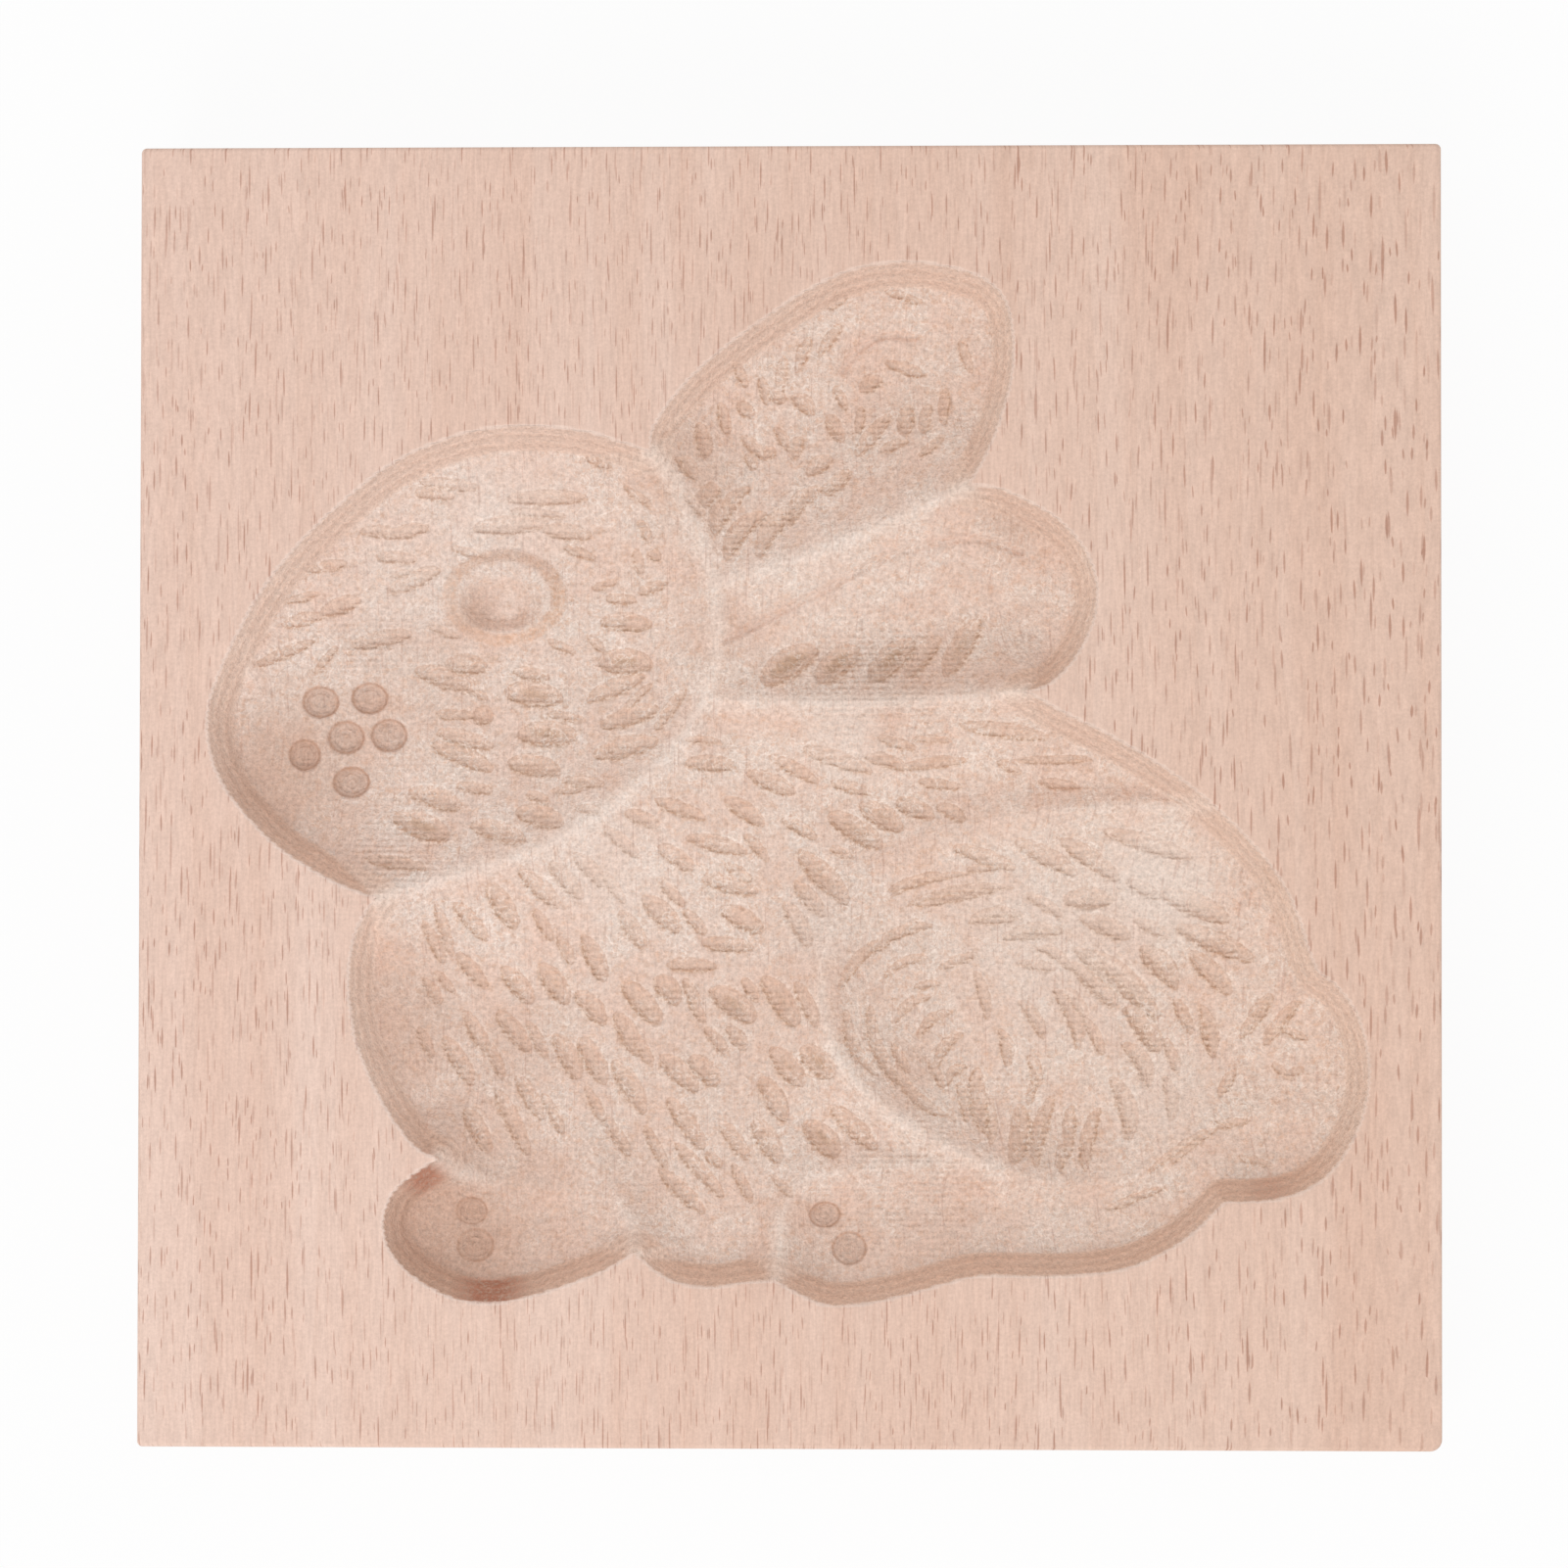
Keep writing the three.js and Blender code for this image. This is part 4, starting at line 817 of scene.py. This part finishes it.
# Each colour lies over those before it: where it lies, its strength there, and the colour.
cut = linear("#e8c9b9")
for where, most, colour in (
    (add(tree, "MapRange", {0: patches, 1: 0.35, 2: 0.65}), 0.8, "#e6d1c4"),
    (add(tree, "MapRange", {0: tint, 1: 0.48, 2: 0.68}), 0.75, "#dbb299"),
    (in_stroke, 0.38, "#dab49c"), (stroke_edge, 0.3, "#c69a80"), (deep_stroke, 0.6, "#bf997b"),
    # The burr's orange is partly painted shade on each stroke's lower side, and the light speckles of the lip
    # are partly a painted highlight.
    (burr_and_shade, 0.5, "#d4a078"), (speckled_burr, 0.5, "#fdeee3"), (speckled_lip_highlight, 0.35, "#fbeade"),
    (curls, 0.55, "#fbebe1"), (in_dot, 0.4, "#c6a18c"), (dot_edge, 0.6, "#bd8e72"),
    # The tan places are painted shade, and the brown places painted shadow.
    (eye_edge, 0.5, "#d9a886"), (ball_edge, 0.22, "#cda48c"), (painted_shade, 0.6, "#c8a18b"),
    # Walls facing up the board: end grain, and painted shade
    (pale, 1.0, "#eddbd0"), (wall, 0.7, "#eaccba"), (upright_end_grain_and_shade, 0.35, "#dda98a"),
    (hanging, 0.3, "#d5b2a1"), (painted_shadow, 0.6, "#c8a18b"), (reddened, 0.75, "#ad6c53"),
    (torn_crest, 0.3, "#f8e8dd"),
):
    cover = add(tree, "Math", (where, most), operation="MULTIPLY")
    cut = add(tree, "Mix", {0: cover, 6: cut, 7: linear(colour)}, data_type="RGBA")

# The lines on the wall follow the rim, and under the painted shadow of the muzzle, the eye, the hind
# foot and the paw they run on over the floor. The rows stand out where a gouge mark ends. Depths of
# all marks are in millimetres.
wall_lines = add(tree, "Math", (tint, 0.6, inward), operation="MULTIPLY_ADD")
wall_lines = add(tree, "Math", (wall_lines, 2 * math.pi / wall_line_spacing), operation="MULTIPLY")
wall_lines = add(tree, "Math", [wall_lines], operation="SINE")
beyond = add(tree, "MapRange", {0: ragged, 1: 4.5, 2: 2.5})
beyond = add(tree, "Math", (beyond, painted_shadow), operation="MULTIPLY")
beyond = add(tree, "Math", (beyond, 0.6), operation="MULTIPLY")
on_wall = add(tree, "Math", (wall, beyond), operation="MAXIMUM")
on_wall = add(tree, "Math", (on_wall, is_cut), operation="MULTIPLY")
wall_lines = add(tree, "Math", (wall_lines, on_wall), operation="MULTIPLY")
uneven = add(tree, "MapRange", {0: tint, 1: 0.4, 2: 0.62, 3: 0.2, 4: 1.6})
tool_rows = add(tree, "Math", (tool_rows, uneven), operation="MULTIPLY")
marked = add(tree, "Math", (in_stroke, 0.5, burr_and_shade), operation="MULTIPLY_ADD")
marked = add(tree, "Math", (lined_place, 0.8, marked), operation="MULTIPLY_ADD")
row_depth = add(tree, "Math", (marked, 0.035, 0.006), operation="MULTIPLY_ADD")
marks = add(tree, "Math", (tool_rows, row_depth), operation="MULTIPLY")
for mark, deep in ((wall_lines, 0.03), (pile, 0.17), (drill_rings, 0.03)):
    marks = add(tree, "Math", (mark, deep, marks), operation="MULTIPLY_ADD")
marks = add(tree, "Math", (marks, is_cut), operation="MULTIPLY")
marks = add(tree, "Math", (fine_streak, 0.02, marks), operation="MULTIPLY_ADD")

# Planed and cut wood together, with the flecks, a pale line painted all round the rim, for its torn
# fibres and as the highlight of its rounded edge, and light and dark fibres
wood = add(tree, "Mix", {0: is_cut, 6: planed, 7: cut}, data_type="RGBA")
fleck_share = add(tree, "MapRange", {0: steep, 3: 0.3, 4: 0.0})
fleck_share = add(tree, "Mix", {0: is_cut, 2: 0.85, 3: fleck_share}, data_type="FLOAT")
fleck_share = add(tree, "Math", (flecks, fleck_share), operation="MULTIPLY")
wood = add(tree, "Mix", {0: fleck_share, 6: wood, 7: linear("#b98a77")}, data_type="RGBA")
rim_fuzz_and_highlight = add(tree, "Math", (rim_fuzz_and_highlight, 0.3), operation="MULTIPLY")
wood = add(tree, "Mix", {0: rim_fuzz_and_highlight, 6: wood, 7: linear("#f6e3d8")}, data_type="RGBA")
fuzz = add(tree, "MapRange", {0: pile, 1: 0.3, 2: 0.7, 3: 0.85, 4: 1.15})
fuzz = add(tree, "Mix", {0: is_cut, 2: 1.0, 3: fuzz}, data_type="FLOAT")
streaked = add(tree, "MapRange", {0: fine_streak, 1: 0.3, 2: 0.7, 3: -0.075, 4: 0.075})
streak_share = add(tree, "MapRange", {0: is_cut, 3: 1.0, 4: 0.45})
streaked = add(tree, "Math", (streaked, streak_share, 1.0), operation="MULTIPLY_ADD")
gritty = add(tree, "MapRange", {0: grit, 1: 0.3, 2: 0.7, 3: 0.93, 4: 1.07})
row_shade = add(tree, "Math", (marked, 0.055, 0.006), operation="MULTIPLY_ADD")
lines_and_rings = [
    add(tree, "Math", (line, strength, 1.0), operation="MULTIPLY_ADD")
    for line, strength in ((drill_rings, 0.025), (wall_lines, 0.045), (tool_rows, row_shade))
]
for shade in (gritty, streaked, fuzz, *lines_and_rings):
    wood = add(tree, "VectorMath", {0: wood, "Scale": shade}, operation="SCALE")

# Painted light and shade: the wood is made a little lighter at the left of the board, nearer the lamp,
# and darker and redder to its right. These are shares of red, green and blue.
at_left = (1.049, 1.076, 1.097, 1)
at_right = (0.975, 0.965, 0.941, 1)
to_right = add(tree, "MapRange", {0: x, 1: -board_width / 2, 2: board_width / 2})
painted_light_falloff = add(tree, "Mix", {0: to_right, 6: at_left, 7: at_right}, data_type="RGBA")
wood = add(tree, "VectorMath", (wood, painted_light_falloff), operation="MULTIPLY")

# Bare wood without wax or oil is matt, with hardly any sheen.
bump = add(tree, "Bump", {"Strength": 1.0, "Distance": mm, "Height": marks})
shader = add(tree, "BsdfPrincipled", {
    "Base Color": wood, "Normal": bump, "Roughness": 0.62, "IOR": 1.45, "Specular IOR Level": 0.3,
})
add(tree, "OutputMaterial", [shader])
mesh.materials.append(beech)

# The table
# A plain white sheet under the board, a hair below its back so that the two don't share a plane.
# The camera sees it as clean white that still takes a shadow.
table_reach = 3.0
table_height = -0.05 * mm
table_corners = [
    (table_reach * way_x, table_reach * way_y, table_height)
    for way_x, way_y in ((-1, -1), (1, -1), (1, 1), (-1, 1))
]
table_mesh = bpy.data.meshes.new("table")
table_mesh.from_pydata(table_corners, [], [(0, 1, 2, 3)])
table = bpy.data.objects.new("table", table_mesh)
bpy.context.scene.collection.objects.link(table)
paper = bpy.data.materials.new("white paper, matt")
paper.use_nodes = True
tree = paper.node_tree
tree.nodes.clear()
matt = add(tree, "BsdfDiffuse", [linear("#ededed")])
bright = add(tree, "Emission", ((1, 1, 1, 1), 1.0))
seen = add(tree, "Math", (add(tree, "LightPath").outputs["Is Camera Ray"], 0.93), operation="MULTIPLY")
add(tree, "OutputMaterial", [add(tree, "MixShader", (seen, matt, bright))])
table_mesh.materials.append(paper)

# The light
# A large soft lamp over the near left side of the table, and white walls all round.
world = bpy.data.worlds.new("white room")
bpy.context.scene.world = world
world.use_nodes = True
tree = world.node_tree
tree.nodes.clear()
room = add(tree, "Background", ((1, 1, 1, 1), 0.75))
backdrop = add(tree, "Background", ((1, 1, 1, 1), 1.0))
looked_at = add(tree, "LightPath").outputs["Is Camera Ray"]
add(tree, "OutputWorld", [add(tree, "MixShader", (looked_at, room, backdrop))])
lamp_data = bpy.data.lights.new("soft lamp", "AREA")
lamp_data.shape = "SQUARE"
lamp_data.size = 0.5
lamp_data.energy = 3.2
lamp = bpy.data.objects.new("soft lamp", lamp_data)
bpy.context.scene.collection.objects.link(lamp)
lamp.location = (-0.16, -0.61, 0.85)
lamp.rotation_euler = (-lamp.location).to_track_quat("-Z", "Y").to_euler()

# The camera
# Looking down on the board from 70 cm, a little right of and below its middle.
camera_data = bpy.data.cameras.new("camera")
camera_data.lens = 174.85
camera_data.sensor_width = 36.0
camera = bpy.data.objects.new("camera", camera_data)
bpy.context.scene.collection.objects.link(camera)
camera.location = (0.03077, -0.018, 0.72)
camera.rotation_euler = (math.radians(1.565), math.radians(2.544), math.radians(0.076))
camera_data.clip_start = 0.01
bpy.context.scene.camera = camera
bpy.context.scene.view_settings.view_transform = "Standard"
